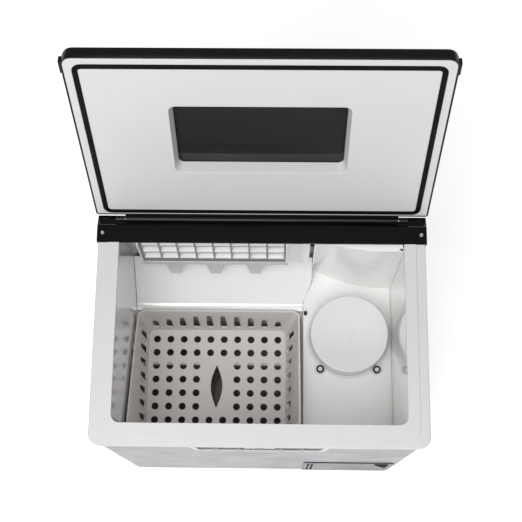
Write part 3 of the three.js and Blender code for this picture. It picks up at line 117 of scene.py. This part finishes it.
# The case screws: the head's half profile as shares of its radius and height, its size, and its place.
PAN_HEAD = ((1.0, 0.0), (1.0, 0.35), (0.86, 0.75), (0.5, 0.97), (0.2, 1.0))
CASE_SCREW_RADIUS = 3.2 * MM
REAR_SCREW_HEIGHT = 1.6 * MM
SIDE_SCREW_HEIGHT = 1.4 * MM
CASE_SCREW_INSET = 14 * MM
CASE_SCREW_DROP = 22 * MM

# The control panel: rings on the buttons, lamps above them, and the display's digits made of bars.
BUTTONS = range(1, 6)
MARK_OUTER = 2.6 * MM
MARK_INNER = 2.05 * MM
MARK_SINK = 0.1 * MM
MARK_DEPTH = 0.15 * MM
LAMP_RISE = 2.6 * MM
LAMP_PROFILE = ((0.9 * MM, 0.3 * MM), (0.9 * MM, -0.2 * MM), (0.5 * MM, -0.4 * MM))
DIGIT_PITCH = 6.2 * MM
DIGIT_HALF = 1.8 * MM
UPRIGHT_RISE = 2.1 * MM
UPRIGHT_HALF = 1.5 * MM
LEVEL_PITCH = 4.0 * MM
LEVEL_HALF = 1.4 * MM
SEGMENT_HALF = 0.28 * MM
SEGMENT_PROUD = 0.12 * MM
SEGMENT_SINK = 0.1 * MM

# The condenser: fins between two end plates, on rows of tube.
FIN_GAPS = 58
FIN_INSET = 3 * MM
FIN_HALF = 0.15 * MM
FIN_SETBACK = 0.5 * MM
FIN_FOOT = 3 * MM
FIN_TOP = 1 * MM
END_PLATE_HALF = 0.6 * MM
TUBE_ROWS = 7
TUBE_RADIUS = 2.4 * MM
TUBE_INSET = 5 * MM
TUBE_PROUD = 0.8 * MM


# ---------- camera, lights and floor ----------
def add_camera():
    low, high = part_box("top_frame")
    camera = bpy.data.objects.new("camera", bpy.data.cameras.new("camera"))
    bpy.context.scene.collection.objects.link(camera)
    camera.data.sensor_width = 36
    camera.data.lens = CAMERA_LENS
    camera.data.clip_start = 0.05
    right, back, up = CAMERA_OFFSET
    camera.location = ((low.x + high.x) / 2 + right, (low.y + high.y) / 2 + back, high.z + up)
    camera.rotation_euler = [math.radians(a) for a in CAMERA_TURN]
    bpy.context.scene.camera = camera


def add_area_light(name, place, target, width, depth, power):
    light = bpy.data.lights.new(name, "AREA")
    light.shape = "RECTANGLE"
    light.size = width
    light.size_y = depth
    light.energy = power
    lamp = bpy.data.objects.new(name, light)
    lamp.location = place
    lamp.rotation_euler = (Vector(target) - Vector(place)).to_track_quat("-Z", "Y").to_euler()
    bpy.context.scene.collection.objects.link(lamp)


def add_studio():
    scene = bpy.context.scene
    scene.view_settings.view_transform = "Standard"
    world = bpy.data.worlds.new("studio")
    world.use_nodes = True
    world.node_tree.nodes["Background"].inputs["Color"].default_value = (1, 1, 1, 1)
    world.node_tree.nodes["Background"].inputs["Strength"].default_value = WORLD_STRENGTH
    scene.world = world
    middle = (0, -0.05, 0.25)
    add_area_light("overhead_light", (-0.15, -0.55, 2.1), middle, 1.3, 1.3, 20)
    add_area_light("key_light", (-1.3, -0.9, 1.9), middle, 1.0, 1.0, 6)
    add_area_light("rear_light", (0.2, 1.3, 1.7), middle, 1.4, 0.8, 3)
    add_area_light("front_light", (-0.35, -1.5, 1.75), (-0.05, 0.05, 0.3), 0.9, 0.3, 9)

    mesh = bpy.data.meshes.new("floor")
    corners = [(x * FLOOR_HALF, y * FLOOR_HALF, 0) for x, y in ((-1, -1), (1, -1), (1, 1), (-1, 1))]
    mesh.from_pydata(corners, [], [(0, 1, 2, 3)])
    floor = bpy.data.objects.new("floor", mesh)
    scene.collection.objects.link(floor)
    material = bpy.data.materials.new("floor")
    material.use_nodes = True
    shader = material.node_tree.nodes["Principled BSDF"]
    shader.inputs["Base Color"].default_value = (FLOOR_ALBEDO, FLOOR_ALBEDO, FLOOR_ALBEDO, 1)
    shader.inputs["Roughness"].default_value = 0.9
    shader.inputs["Emission Color"].default_value = (1, 1, 1, 1)
    shader.inputs["Emission Strength"].default_value = FLOOR_GLOW
    mesh.materials.append(material)


# ---------- materials ----------
class Finish:
    """A Principled material on object coordinates, with helpers for the noise that breaks up its surface."""

    def __init__(self, name, color, roughness, metallic=0.0):
        self.material = bpy.data.materials.new(name)
        self.material.use_nodes = True
        self.tree = self.material.node_tree
        self.shader = self.tree.nodes["Principled BSDF"]
        self.color = color
        self.set("Base Color", (*color, 1))
        self.set("Roughness", roughness)
        self.set("Metallic", metallic)
        self.roughness = roughness
        self.place = self.node("ShaderNodeTexCoord").outputs["Object"]
        self.height = None

    def node(self, kind, **values):
        node = self.tree.nodes.new(kind)
        for key, value in values.items():
            setattr(node, key, value)
        return node

    def link(self, source, target):
        self.tree.links.new(source, target)

    def set(self, socket, value):
        self.shader.inputs[socket].default_value = value
        return self

    def stretched(self, scale):
        mapping = self.node("ShaderNodeMapping")
        mapping.inputs["Scale"].default_value = scale
        self.link(self.place, mapping.inputs["Vector"])
        return mapping.outputs["Vector"]

    def noise(self, per_metre, detail=2.0, stretch=None, distortion=0.0):
        texture = self.node("ShaderNodeTexNoise")
        texture.inputs["Scale"].default_value = per_metre
        texture.inputs["Detail"].default_value = detail
        texture.inputs["Distortion"].default_value = distortion
        self.link(self.stretched(stretch) if stretch else self.place, texture.inputs["Vector"])
        return texture.outputs["Fac"]

    def ramp(self, source, *stops):
        ramp = self.node("ShaderNodeValToRGB")
        elements = ramp.color_ramp.elements
        while len(elements) < len(stops):
            elements.new(0.5)
        for element, (position, color) in zip(elements, stops):
            element.position = position
            element.color = (*color, 1) if len(color) == 3 else color
        self.link(source, ramp.inputs["Fac"])
        return ramp.outputs["Color"]

    def span(self, source, low, high, start=0.3, end=0.7):
        """Maps a noise value from start..end to low..high."""
        span = self.node("ShaderNodeMapRange")
        span.inputs["From Min"].default_value = start
        span.inputs["From Max"].default_value = end
        span.inputs["To Min"].default_value = low
        span.inputs["To Max"].default_value = high
        self.link(source, span.inputs["Value"])
        return span.outputs["Result"]

    def mottle(self, per_metre, amount, detail=3.0, stretch=None):
        """Slight lighter and darker clouds in the colour."""
        dark = tuple(c * (1 - amount) for c in self.color)
        light = tuple(min(1.0, c * (1 + amount)) for c in self.color)
        noise = self.noise(per_metre, detail, stretch)
        self.link(self.ramp(noise, (0.3, dark), (0.7, light)), self.shader.inputs["Base Color"])
        return self

    def smudge(self, per_metre, amount, detail=4.0, stretch=None):
        """Handling marks: patches that are a little rougher or glossier."""
        noise = self.noise(per_metre, detail, stretch, 0.4)
        low = max(0.02, self.roughness - amount)
        self.link(self.span(noise, low, self.roughness + amount), self.shader.inputs["Roughness"])
        return self

    def bump(self, source, depth, strength=1.0):
        """Adds a height in metres under any height that is already there."""
        node = self.node("ShaderNodeBump")
        node.inputs["Distance"].default_value = depth
        node.inputs["Strength"].default_value = strength
        self.link(source, node.inputs["Height"])
        if self.height is not None:
            self.link(self.height, node.inputs["Normal"])
        self.height = node.outputs["Normal"]
        self.link(self.height, self.shader.inputs["Normal"])
        return self


def moulded(name, color, roughness, grain=0.00002, wave=0.0, coat=0.0, specular=0.5):
    """Injection-moulded plastic: fine grain, slow sink-mark waves, faint colour clouds and handling marks."""
    finish = Finish(name, color, roughness)
    finish.set("Specular IOR Level", specular)
    finish.mottle(14, 0.012)
    finish.smudge(22, roughness * 0.18)
    if grain:
        finish.bump(finish.noise(2600, 1.5), grain, 0.5)
    if wave:
        finish.bump(finish.noise(11, 1.0), wave, 0.6)
    if coat:
        finish.set("Coat Weight", coat).set("Coat Roughness", 0.04)
    return finish.material


def sheet_metal(name, color, roughness, metallic, grain_scale, stretch=None):
    """Coated, plated or bare metal: fine grain, faint colour clouds and handling marks."""
    finish = Finish(name, color, roughness, metallic)
    finish.mottle(9, 0.02)
    finish.smudge(18, roughness * 0.2)
    finish.bump(finish.noise(grain_scale, 2.0, stretch), 0.00002, 0.4)
    return finish.material


def smoked_window():
    finish = Finish("smoked_acrylic", (0.008, 0.008, 0.010), 0.05)
    finish.set("Transmission Weight", 1.0).set("IOR", 1.49)
    finish.smudge(30, 0.015)
    finish.bump(finish.noise(8, 1.0), 0.0001, 0.3)
    return finish.material


def cabin_plastic():
    """Glossy white above the basket, and painted shade below it: the walls darken towards the bay floor."""
    finish = Finish("cabin_plastic", (0.86, 0.855, 0.845), 0.1)
    split = finish.node("ShaderNodeSeparateXYZ")
    finish.link(finish.place, split.inputs["Vector"])
    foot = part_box("ice_basket")[0].z
    # Painted shade: below the basket the walls' colour darkens, standing in for the shade in the bay under it.
    above = finish.span(split.outputs["Z"], 0.0, 1.0, foot - SHADE_FULL, foot - SHADE_START)
    finish.link(finish.ramp(above, (0.0, (0.15, 0.135, 0.125)), (1.0, finish.color)),
                finish.shader.inputs["Base Color"])
    finish.smudge(22, 0.03)
    finish.bump(finish.noise(11, 1.0), 0.0002, 0.5)
    finish.set("Coat Weight", 0.5).set("Coat Roughness", 0.03)
    return finish.material


def grid_plate():
    """Bright plating inside the cells, and painted shade: a darker line along the front edges of the fins."""
    finish = Finish("nickel_plate", (0.66, 0.655, 0.65), 0.4, 0.15)
    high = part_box("evaporator_grid")[1]
    split = finish.node("ShaderNodeSeparateXYZ")
    finish.link(finish.place, split.inputs["Vector"])
    face = finish.node("ShaderNodeMath", operation="MULTIPLY_ADD")
    finish.link(split.outputs["Z"], face.inputs[0])
    face.inputs[1].default_value = -GRID_LEAN
    finish.link(split.outputs["Y"], face.inputs[2])
    front = high.y - GRID_DEPTH - GRID_LEAN * high.z
    edge = finish.span(face.outputs[0], 0.0, 1.0, front + GRID_SHADE_EDGE[0], front + GRID_SHADE_EDGE[1])
    # Painted shade: the fins' front edges are darkened, standing in for the shadows between the cells.
    finish.link(finish.ramp(edge, (0.0, (0.30, 0.30, 0.30)), (1.0, finish.color)),
                finish.shader.inputs["Base Color"])
    finish.smudge(40, 0.08)
    finish.bump(finish.noise(1400), 0.00002, 0.4)
    return finish.material


WHITE = moulded("white_plastic", (0.615, 0.606, 0.61), 0.36, 0.00003)
DOME_WHITE = moulded("dome_plastic", (0.69, 0.68, 0.685), 0.32, 0.00002)
LINER = moulded("liner_plastic", (0.84, 0.835, 0.825), 0.2, 0.0, 0.0004, 0.2)
CHUTE = moulded("chute_plastic", (0.83, 0.825, 0.815), 0.1, 0.0, 0.0004, 0.6)
CABIN = cabin_plastic()
LID_LINER = moulded("lid_liner_plastic", (0.645, 0.637, 0.641), 0.42, 0.00003)
BLACK = moulded("black_gloss_plastic", (0.003, 0.003, 0.0035), 0.13, 0.0, 0.0004, specular=0.22)
RUBBER = moulded("black_rubber", (0.003, 0.003, 0.0035), 0.6, 0.00005, specular=0.1)
SMOKE = smoked_window()
BASKET = moulded("basket_plastic", (0.71, 0.69, 0.675), 0.34, 0.00003)
SILVER = sheet_metal("silver_panel", (0.28, 0.28, 0.30), 0.38, 0.35, 3000)
SILVER_DARK = sheet_metal("access_silver", (0.13, 0.13, 0.14), 0.4, 0.35, 3000)
FOAM = moulded("foam_sleeve", (0.012, 0.012, 0.013), 0.9, 0.0003, specular=0.1)
PULL = moulded("pull_plastic", (0.006, 0.006, 0.007), 0.6, 0.00003, specular=0.05)
STEEL = sheet_metal("steel", (0.62, 0.62, 0.63), 0.24, 1.0, 900, (1, 1, 8))
NICKEL = grid_plate()
DARK = moulded("dark_plastic", (0.02, 0.02, 0.022), 0.45, 0.00003, specular=0.2)
BUTTON = moulded("button_plastic", (0.34, 0.34, 0.36), 0.32, 0.00002)
ENAMEL = sheet_metal("black_paint", (0.016, 0.016, 0.018), 0.4, 0.0, 700)
COPPER = sheet_metal("copper", (0.70, 0.33, 0.19), 0.28, 1.0, 400)
ALUMINIUM = sheet_metal("condenser_aluminium", (0.62, 0.63, 0.64), 0.34, 1.0, 800)
GALVANISED = sheet_metal("galvanised_steel", (0.50, 0.52, 0.53), 0.4, 1.0, 120)
LAMP = moulded("lamp_plastic", (0.55, 0.62, 0.66), 0.3, 0.00002)
BOARD = moulded("board", (0.03, 0.12, 0.05), 0.42, 0.00003)
HOSE = moulded("white_hose", (0.72, 0.72, 0.70), 0.42, 0.00002)

NODE_FINISH = {
    "foot_": RUBBER, "base_pan": GALVANISED, "front_panel": SILVER, "left_side_panel": SILVER,
    "right_side_panel": SILVER, "rear_panel": SILVER, "front_access_panel": SILVER_DARK, "top_frame": WHITE,
    "hinge_cover": BLACK, "hinge_pin": STEEL, "hinge_screw": STEEL, "cabin_liner": CABIN,
    "deck_cover": LINER, "dome_cover": DOME_WHITE, "dome_screw": STEEL, "ice_chute": CHUTE,
    "access_pull": PULL, "evaporator_grid": NICKEL, "evaporator_bracket": LINER,
    "spray_bar": WHITE, "drip_gutter": WHITE,
    "ice_basket": BASKET, "ice_sensor": DARK, "lid_shell": BLACK, "lid_liner": LID_LINER,
    "lid_gasket": RUBBER, "lid_window": SMOKE, "control_bezel": WHITE, "control_fascia": DARK,
    "display_lens": SMOKE, "button_": BUTTON, "control_board": BOARD, "compressor": ENAMEL,
    "compressor_mount": GALVANISED, "condenser": ALUMINIUM, "fan_shroud": ENAMEL, "fan_rotor": DARK,
    "fan_motor": ENAMEL, "water_pump": DARK, "pump_impeller": WHITE, "suction_tube": FOAM,
    "discharge_tube": COPPER, "water_hose": HOSE, "drain_spout": WHITE, "drain_cap": RUBBER,
    "main_board": BOARD, "power_inlet": DARK,
}


def finish_of(node):
    return NODE_FINISH[max((key for key in NODE_FINISH if node.startswith(key)), key=len)]


# ---------- CAD nodes ----------
# Joining the triangles of this node's flat faces leaves dark wedges on it, so it keeps them.
KEEP_TRIANGLES = ("evaporator_grid",)


def shade_smooth(obj):
    obj.data.polygons.foreach_set("use_smooth", [True] * len(obj.data.polygons))


def round_edges(obj, width, segments, angle):
    bevel = obj.modifiers.new("bevel", "BEVEL")
    bevel.width = width
    bevel.segments = segments
    bevel.limit_method = "ANGLE"
    bevel.angle_limit = math.radians(angle)
    obj.modifiers.new("normals", "WEIGHTED_NORMAL")


def soften(obj):
    """Joins the triangles of flat faces, rounds the edges and shades the surface smoothly between them."""
    weld = obj.modifiers.new("weld", "WELD")
    weld.merge_threshold = 0.00001
    if obj.name not in KEEP_TRIANGLES:
        flat = obj.modifiers.new("flat", "DECIMATE")
        flat.decimate_type = "DISSOLVE"
        flat.angle_limit = math.radians(0.5)
    round_edges(obj, 0.5 * MM, 2, 30)


def dress_nodes():
    for name, obj in NODES.items():
        obj.data.materials.clear()
        obj.data.materials.append(finish_of(name))
        shade_smooth(obj)
        soften(obj)


# ---------- mesh helpers ----------
def rounded_rect(x0, x1, y0, y1, radius, steps=8):
    points = []
    corners = ((x1 - radius, y1 - radius), (x0 + radius, y1 - radius), (x0 + radius, y0 + radius),
               (x1 - radius, y0 + radius))
    for quarter, (cx, cy) in enumerate(corners):
        for i in range(steps + 1):
            angle = (quarter + i / steps) * math.pi / 2
            points.append((cx + radius * math.cos(angle), cy + radius * math.sin(angle)))
    return points


def circle(cx, cy, radius, sides=24):
    angles = [2 * math.pi * i / sides for i in range(sides)]
    return [(cx + radius * math.cos(angle), cy + radius * math.sin(angle)) for angle in angles]


def rings(bm, levels, capped):
    """A closed skin through loops of equal length, each a list of (x, y, z).

    It is capped at both ends, or else joined from the last loop back to the first.
    """
    loops = [[bm.verts.new(p) for p in level] for level in levels]
    count = len(loops[0])
    for near, far in zip(loops, loops[1:] if capped else loops[1:] + loops[:1]):
        for i in range(count):
            j = (i + 1) % count
            bm.faces.new((near[i], near[j], far[j], far[i]))
    if capped:
        bm.faces.new(reversed(loops[0]))
        bm.faces.new(loops[-1])


def along_z(outline, z0, z1):
    return [[(x, y, z) for x, y in outline] for z in (z0, z1)]


def along_y(outline, y0, y1):
    """The outline is drawn as (x, z)."""
    return [[(x, y, z) for x, z in outline] for y in (y1, y0)]


def along_x(outline, x0, x1):
    """The outline is drawn as (y, z)."""
    return [[(x, y, z) for y, z in outline] for x in (x0, x1)]


def turned(cx, cy, profile, sides=32):
    """Loops about a vertical line from (radius, z) pairs that run upwards."""
    return [[(x, y, z) for x, y in circle(cx, cy, radius, sides)] for radius, z in profile]


def turned_y(cx, cz, profile, sides=24):
    """Loops about a line along Y from (radius, y) pairs that run from back to front."""
    return [[(x, y, z) for x, z in circle(cx, cz, radius, sides)] for radius, y in profile]


def build(name, skins, material, capped=True):
    bm = bmesh.new()
    for skin in skins:
        rings(bm, skin, capped)
    bmesh.ops.recalc_face_normals(bm, faces=bm.faces)
    mesh = bpy.data.meshes.new(name)
    bm.to_mesh(mesh)
    bm.free()
    obj = bpy.data.objects.new(name, mesh)
    bpy.context.scene.collection.objects.link(obj)
    mesh.materials.append(material)
    return obj


def settle(obj):
    """Makes what the modifiers do so far part of the mesh."""
    depsgraph = bpy.context.evaluated_depsgraph_get()
    mesh = bpy.data.meshes.new_from_object(obj.evaluated_get(depsgraph))
    obj.modifiers.clear()
    obj.data = mesh


def carve(obj, skins):
    """Cuts the skins out of a piece."""
    tool = build(obj.name + "_tool", skins, obj.data.materials[0])
    cutter = obj.modifiers.new("cut", "BOOLEAN")
    cutter.operation = "DIFFERENCE"
    cutter.solver = "MANIFOLD"
    cutter.object = tool
    settle(obj)
    bpy.data.objects.remove(tool)


def place(obj, body, slot, width=0.3, segments=2, angle=35):
    """Puts a piece on its body, with its edges rounded by a width in millimetres."""
    shade_smooth(obj)
    round_edges(obj, width * MM, segments, angle)
    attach(obj, body)


# ---------- basket ----------
def wall_hole(middle, low, height):
    """An upright drop with a round foot and a narrower arched head."""
    half = WALL_HOLE_HALF
    top = half * 0.7
    steps = 8
    angles = [math.pi * i / steps for i in range(steps + 1)]
    foot = [(middle - half * math.cos(angle), low + half * (1 - math.sin(angle))) for angle in angles]
    head = [(middle + top * math.cos(angle), low + height - top + top * math.sin(angle)) for angle in angles]
    return foot + head


def leaf(cx, cy, length, width):
    """The finger slot's outline, pointed at both ends."""
    steps = 12
    points = []
    for side in (1, -1):
        for i in range(steps):
            t = i / steps
            points.append((cx + side * math.sin(math.pi * t) * width / 2, cy + side * (t - 0.5) * length))
    return points


def add_basket():
    """The lift-out basket as one moulding with its holes cut through."""
    low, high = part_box("ice_basket")
    floor_z = low.z + BASKET_WALL

    def rim_z(y):
        return high.z - RIM_SLOPE * (y - low.y)

    def rim(shrink):
        return rounded_rect(low.x + shrink, high.x - shrink, low.y + shrink, high.y - shrink,
                            BASKET_CORNER - shrink)

    def foot(shrink):
        return rounded_rect(low.x + BASKET_FLARE_LEFT + shrink, high.x - BASKET_FLARE_RIGHT - shrink,
                            low.y + BASKET_FLARE_FRONT + shrink, high.y - BASKET_FLARE_REAR - shrink,
                            BASKET_CORNER - shrink)

    def at(outline, z):
        return [(x, y, z) for x, y in outline]

    def on_rim(outline, rise=0.0):
        return [(x, y, rim_z(y) + rise) for x, y in outline]

    skin = [at(foot(0), low.z), on_rim(rim(0)), on_rim(rim(BASKET_WALL)), at(foot(BASKET_WALL), floor_z)]
    basket = build("basket_moulding", [skin], BASKET)
    foot_left = low.x + BASKET_FLARE_LEFT
    foot_right = high.x - BASKET_FLARE_RIGHT
    centre_x = (foot_left + foot_right) / 2
    first_y = high.y - BASKET_FLARE_REAR - BASKET_WALL - HOLE_MARGIN
    z0, z1 = low.z - MM, floor_z + MM
    floor_holes, wall_holes, side_holes = [], [], []
    for column in range(HOLE_COLUMNS):
        x = centre_x + (column - (HOLE_COLUMNS - 1) / 2) * HOLE_PITCH
        for row in range(HOLE_ROWS):
            if SLOT_ROWS[0] <= row <= SLOT_ROWS[1] and column in SLOT_COLUMNS:
                continue
            floor_holes.append(along_z(circle(x, first_y - row * HOLE_PITCH, HOLE_RADIUS), z0, z1))
        height = WALL_HOLE_HEIGHTS[min(column, HOLE_COLUMNS - 1 - column)]
        wall_holes.append(along_y(wall_hole(x, floor_z + WALL_HOLE_FOOT, height), low.y - MM, high.y + MM))
    for row in range(HOLE_ROWS):
        outline = wall_hole(first_y - row * HOLE_PITCH, floor_z + WALL_HOLE_FOOT, WALL_HOLE_HEIGHTS[-1])
        side_holes.append(along_x(outline, low.x - MM, high.x + MM))
    slot_y = first_y - sum(SLOT_ROWS) / 2 * HOLE_PITCH
    floor_holes.append(along_z(leaf(centre_x, slot_y, SLOT_LENGTH, SLOT_WIDTH), z0, z1))
    for holes in (floor_holes, wall_holes, side_holes):
        carve(basket, holes)
    place(basket, "basket", "basket_plastic", 0.4, 3, 30)
    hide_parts("ice_basket")


# ---------- dome, screws and case details ----------
def add_dome_details():
    """A thin ring round the foot of the dome, and a dark washer under each of its screws."""
    low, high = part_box("dome_cover")
    radius = (high.x - low.x) / 2
    centre_x, centre_y, foot = (low.x + high.x) / 2, high.y - radius, low.z
    profile = [(radius + out, foot + up) for out, up in DOME_RING]
    ring = build("dome_base_ring", [turned(centre_x, centre_y, profile, DOME_SIDES)], DOME_WHITE)
    bore = radius - DOME_RING_BORE
    carve(ring, [turned(centre_x, centre_y, ((bore, foot - MM), (bore, foot + 3 * MM)), DOME_SIDES)])
    place(ring, "cabinet", "white_plastic", 0.3)
    collars, holes = [], []
    for side in ("left", "right"):
        low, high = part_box("dome_screw_" + side)
        cx, cy, half = (low.x + high.x) / 2, (low.y + high.y) / 2, (high.x - low.x) / 2
        collars.append(turned(cx, cy, [(half + out, low.z + up) for out, up in WASHER]))
        bore = half + WASHER_BORE
        holes.append(turned(cx, cy, ((bore, low.z - MM), (bore, high.z + MM))))
    washers = build("dome_screw_washers", collars, RUBBER)
    carve(washers, holes)
    place(washers, "cabinet", "black_rubber", 0.15)


def add_deck_bead():
    """The sealing bead up the corner of the deck's back wall and along the deck, beside the cabin wall."""
    deck_low, deck_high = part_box("deck_cover")
    frame_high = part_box("top_frame")[1]
    deck_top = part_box("dome_cover")[0].z
    wall_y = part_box("ice_basket")[1].y + BAY_GAP + DECK_WALL_SETBACK

    def cabin_wall(z):
        return frame_high.x - SIDE_BAR - CABIN_DRAFT * (frame_high.z - z) - BEAD_GAP

    corner_bead = []
    for share in (0.0, 0.5, 1.0):
        z = deck_top + share * (deck_high.z - deck_top)
        y = wall_y + share * DECK_LEAN
        right = cabin_wall(z)
        left = right - BEAD_WIDTH
        corner_bead.append([(right, y + step, z) for step in BEAD_WALL_SIDE]
                           + [(left, y + step, z) for step in BEAD_FREE_SIDE])
    foot = deck_top - BEAD_SINK
    rib = [(cabin_wall(foot) - out, foot + up) for out, up in BEAD_RIB]
    floor_bead = along_y(rib, deck_low.y + BEAD_ENDS[0], wall_y - BEAD_ENDS[1])
    place(build("deck_sealing_bead", [corner_bead, floor_bead], LINER), "cabinet", "liner_plastic", 0.3)


def pan_heads(points, radius, height, axis):
    """Domed screw heads with their backs at the points, facing along an axis given as (x, y)."""
    skins = []
    for x, y, z in points:
        loops = []
        for width, share in PAN_HEAD:
            edge = circle(0, 0, radius * width, 20)
            if axis[0]:
                loops.append([(x + axis[0] * share * height, y + u, z + v) for u, v in edge])
            else:
                loops.append([(x + u, y + axis[1] * share * height, z + v) for u, v in edge])
        skins.append(loops)
    return skins


def add_case_screws():
    inset = CASE_SCREW_INSET
    low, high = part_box("rear_panel")
    points = [(x, high.y, z) for x in (low.x + inset, 0.0, high.x - inset)
              for z in (low.z + inset, high.z - CASE_SCREW_DROP)]
    skins = pan_heads(points, CASE_SCREW_RADIUS, REAR_SCREW_HEIGHT, (0, 1))
    place(build("rear_panel_screws", skins, STEEL), "cabinet", "steel", 0.15)
    skins = []
    for name, way in (("left_side_panel", -1), ("right_side_panel", 1)):
        low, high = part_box(name)
        x = low.x if way < 0 else high.x
        points = [(x, y, low.z + inset) for y in (low.y + inset, high.y - inset)]
        skins += pan_heads(points, CASE_SCREW_RADIUS, SIDE_SCREW_HEIGHT, (way, 0))
    place(build("side_panel_screws", skins, STEEL), "cabinet", "steel", 0.15)


def bar(x0, x1, y0, y1, z0, z1):
    return along_z([(x0, y0), (x1, y0), (x1, y1), (x0, y1)], z0, z1)


def ring_y(cx, cz, outer, inner, y_back, y_front, sides=28):
    """The four loops of a flat ring facing -Y."""
    corners = ((inner, y_back), (outer, y_back), (outer, y_front), (inner, y_front))
    return [[(x, y, z) for x, z in circle(cx, cz, radius, sides)] for radius, y in corners]


def add_control_marks():
    """A plain ring on each button, a lamp above it, and the bars of the display's digits."""
    fascia_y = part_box("control_fascia")[0].y
    profile = [(radius, fascia_y + step) for radius, step in LAMP_PROFILE]
    lamps = []
    for i in BUTTONS:
        low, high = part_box(f"button_{i}")
        cx, cz = (low.x + high.x) / 2, (low.z + high.z) / 2
        ring = ring_y(cx, cz, MARK_OUTER, MARK_INNER, low.y + MARK_SINK, low.y - MARK_DEPTH + MARK_SINK)
        place(build(f"button_{i}_mark", [ring], DARK, capped=False), f"button_{i}", "dark_plastic", 0.04, 1)
        lamps.append(turned_y(cx, high.z + LAMP_RISE, profile, 16))
    place(build("control_lamps", lamps, LAMP), "cabinet", "button_plastic", 0.05, 1)
    low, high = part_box("display_lens")
    middle = (low.z + high.z) / 2
    segments = []

    def segment(x, z, half_x, half_z):
        segments.append(bar(x - half_x, x + half_x, low.y - SEGMENT_PROUD, low.y + SEGMENT_SINK,
                            z - half_z, z + half_z))

    for digit in (-1.5, -0.5, 0.5, 1.5):
        cx = digit * DIGIT_PITCH
        for side in (-1, 1):
            for up in (-1, 1):
                segment(cx + side * DIGIT_HALF, middle + up * UPRIGHT_RISE, SEGMENT_HALF, UPRIGHT_HALF)
        for level in (-1, 0, 1):
            segment(cx, middle + level * LEVEL_PITCH, LEVEL_HALF, SEGMENT_HALF)
    place(build("display_segments", segments, LAMP), "cabinet", "button_plastic", 0.05, 1)


def add_condenser_core():
    """Thin fins on rows of copper tube between two end plates."""
    low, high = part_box("condenser")
    pitch = (high.x - low.x - 2 * FIN_INSET) / FIN_GAPS
    fins = []
    for i in range(FIN_GAPS + 1):
        x = low.x + FIN_INSET + i * pitch
        fins.append(bar(x - FIN_HALF, x + FIN_HALF, low.y + FIN_SETBACK, high.y - FIN_SETBACK,
                        low.z + FIN_FOOT, high.z - FIN_TOP))
    for x in (low.x + END_PLATE_HALF, high.x - END_PLATE_HALF):
        fins.append(bar(x - END_PLATE_HALF, x + END_PLATE_HALF, low.y, high.y, low.z, high.z))
    core = build("condenser_fins", fins, ALUMINIUM)
    place(core, "cabinet", "condenser_aluminium", 0.05, 1, 60)
    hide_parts("condenser")
    tubes = []
    for row in range(TUBE_ROWS):
        z = low.z + (row + 0.5) * (high.z - low.z) / TUBE_ROWS
        for y in (low.y + TUBE_INSET, high.y - TUBE_INSET):
            tubes.append(along_x(circle(y, z, TUBE_RADIUS, 14), low.x - TUBE_PROUD, high.x + TUBE_PROUD))
    place(build("condenser_tubes", tubes, COPPER), "cabinet", "copper", 0.3)


add_camera()
add_studio()
dress_nodes()
add_basket()
add_dome_details()
add_deck_bead()
add_case_screws()
add_control_marks()
add_condenser_core()
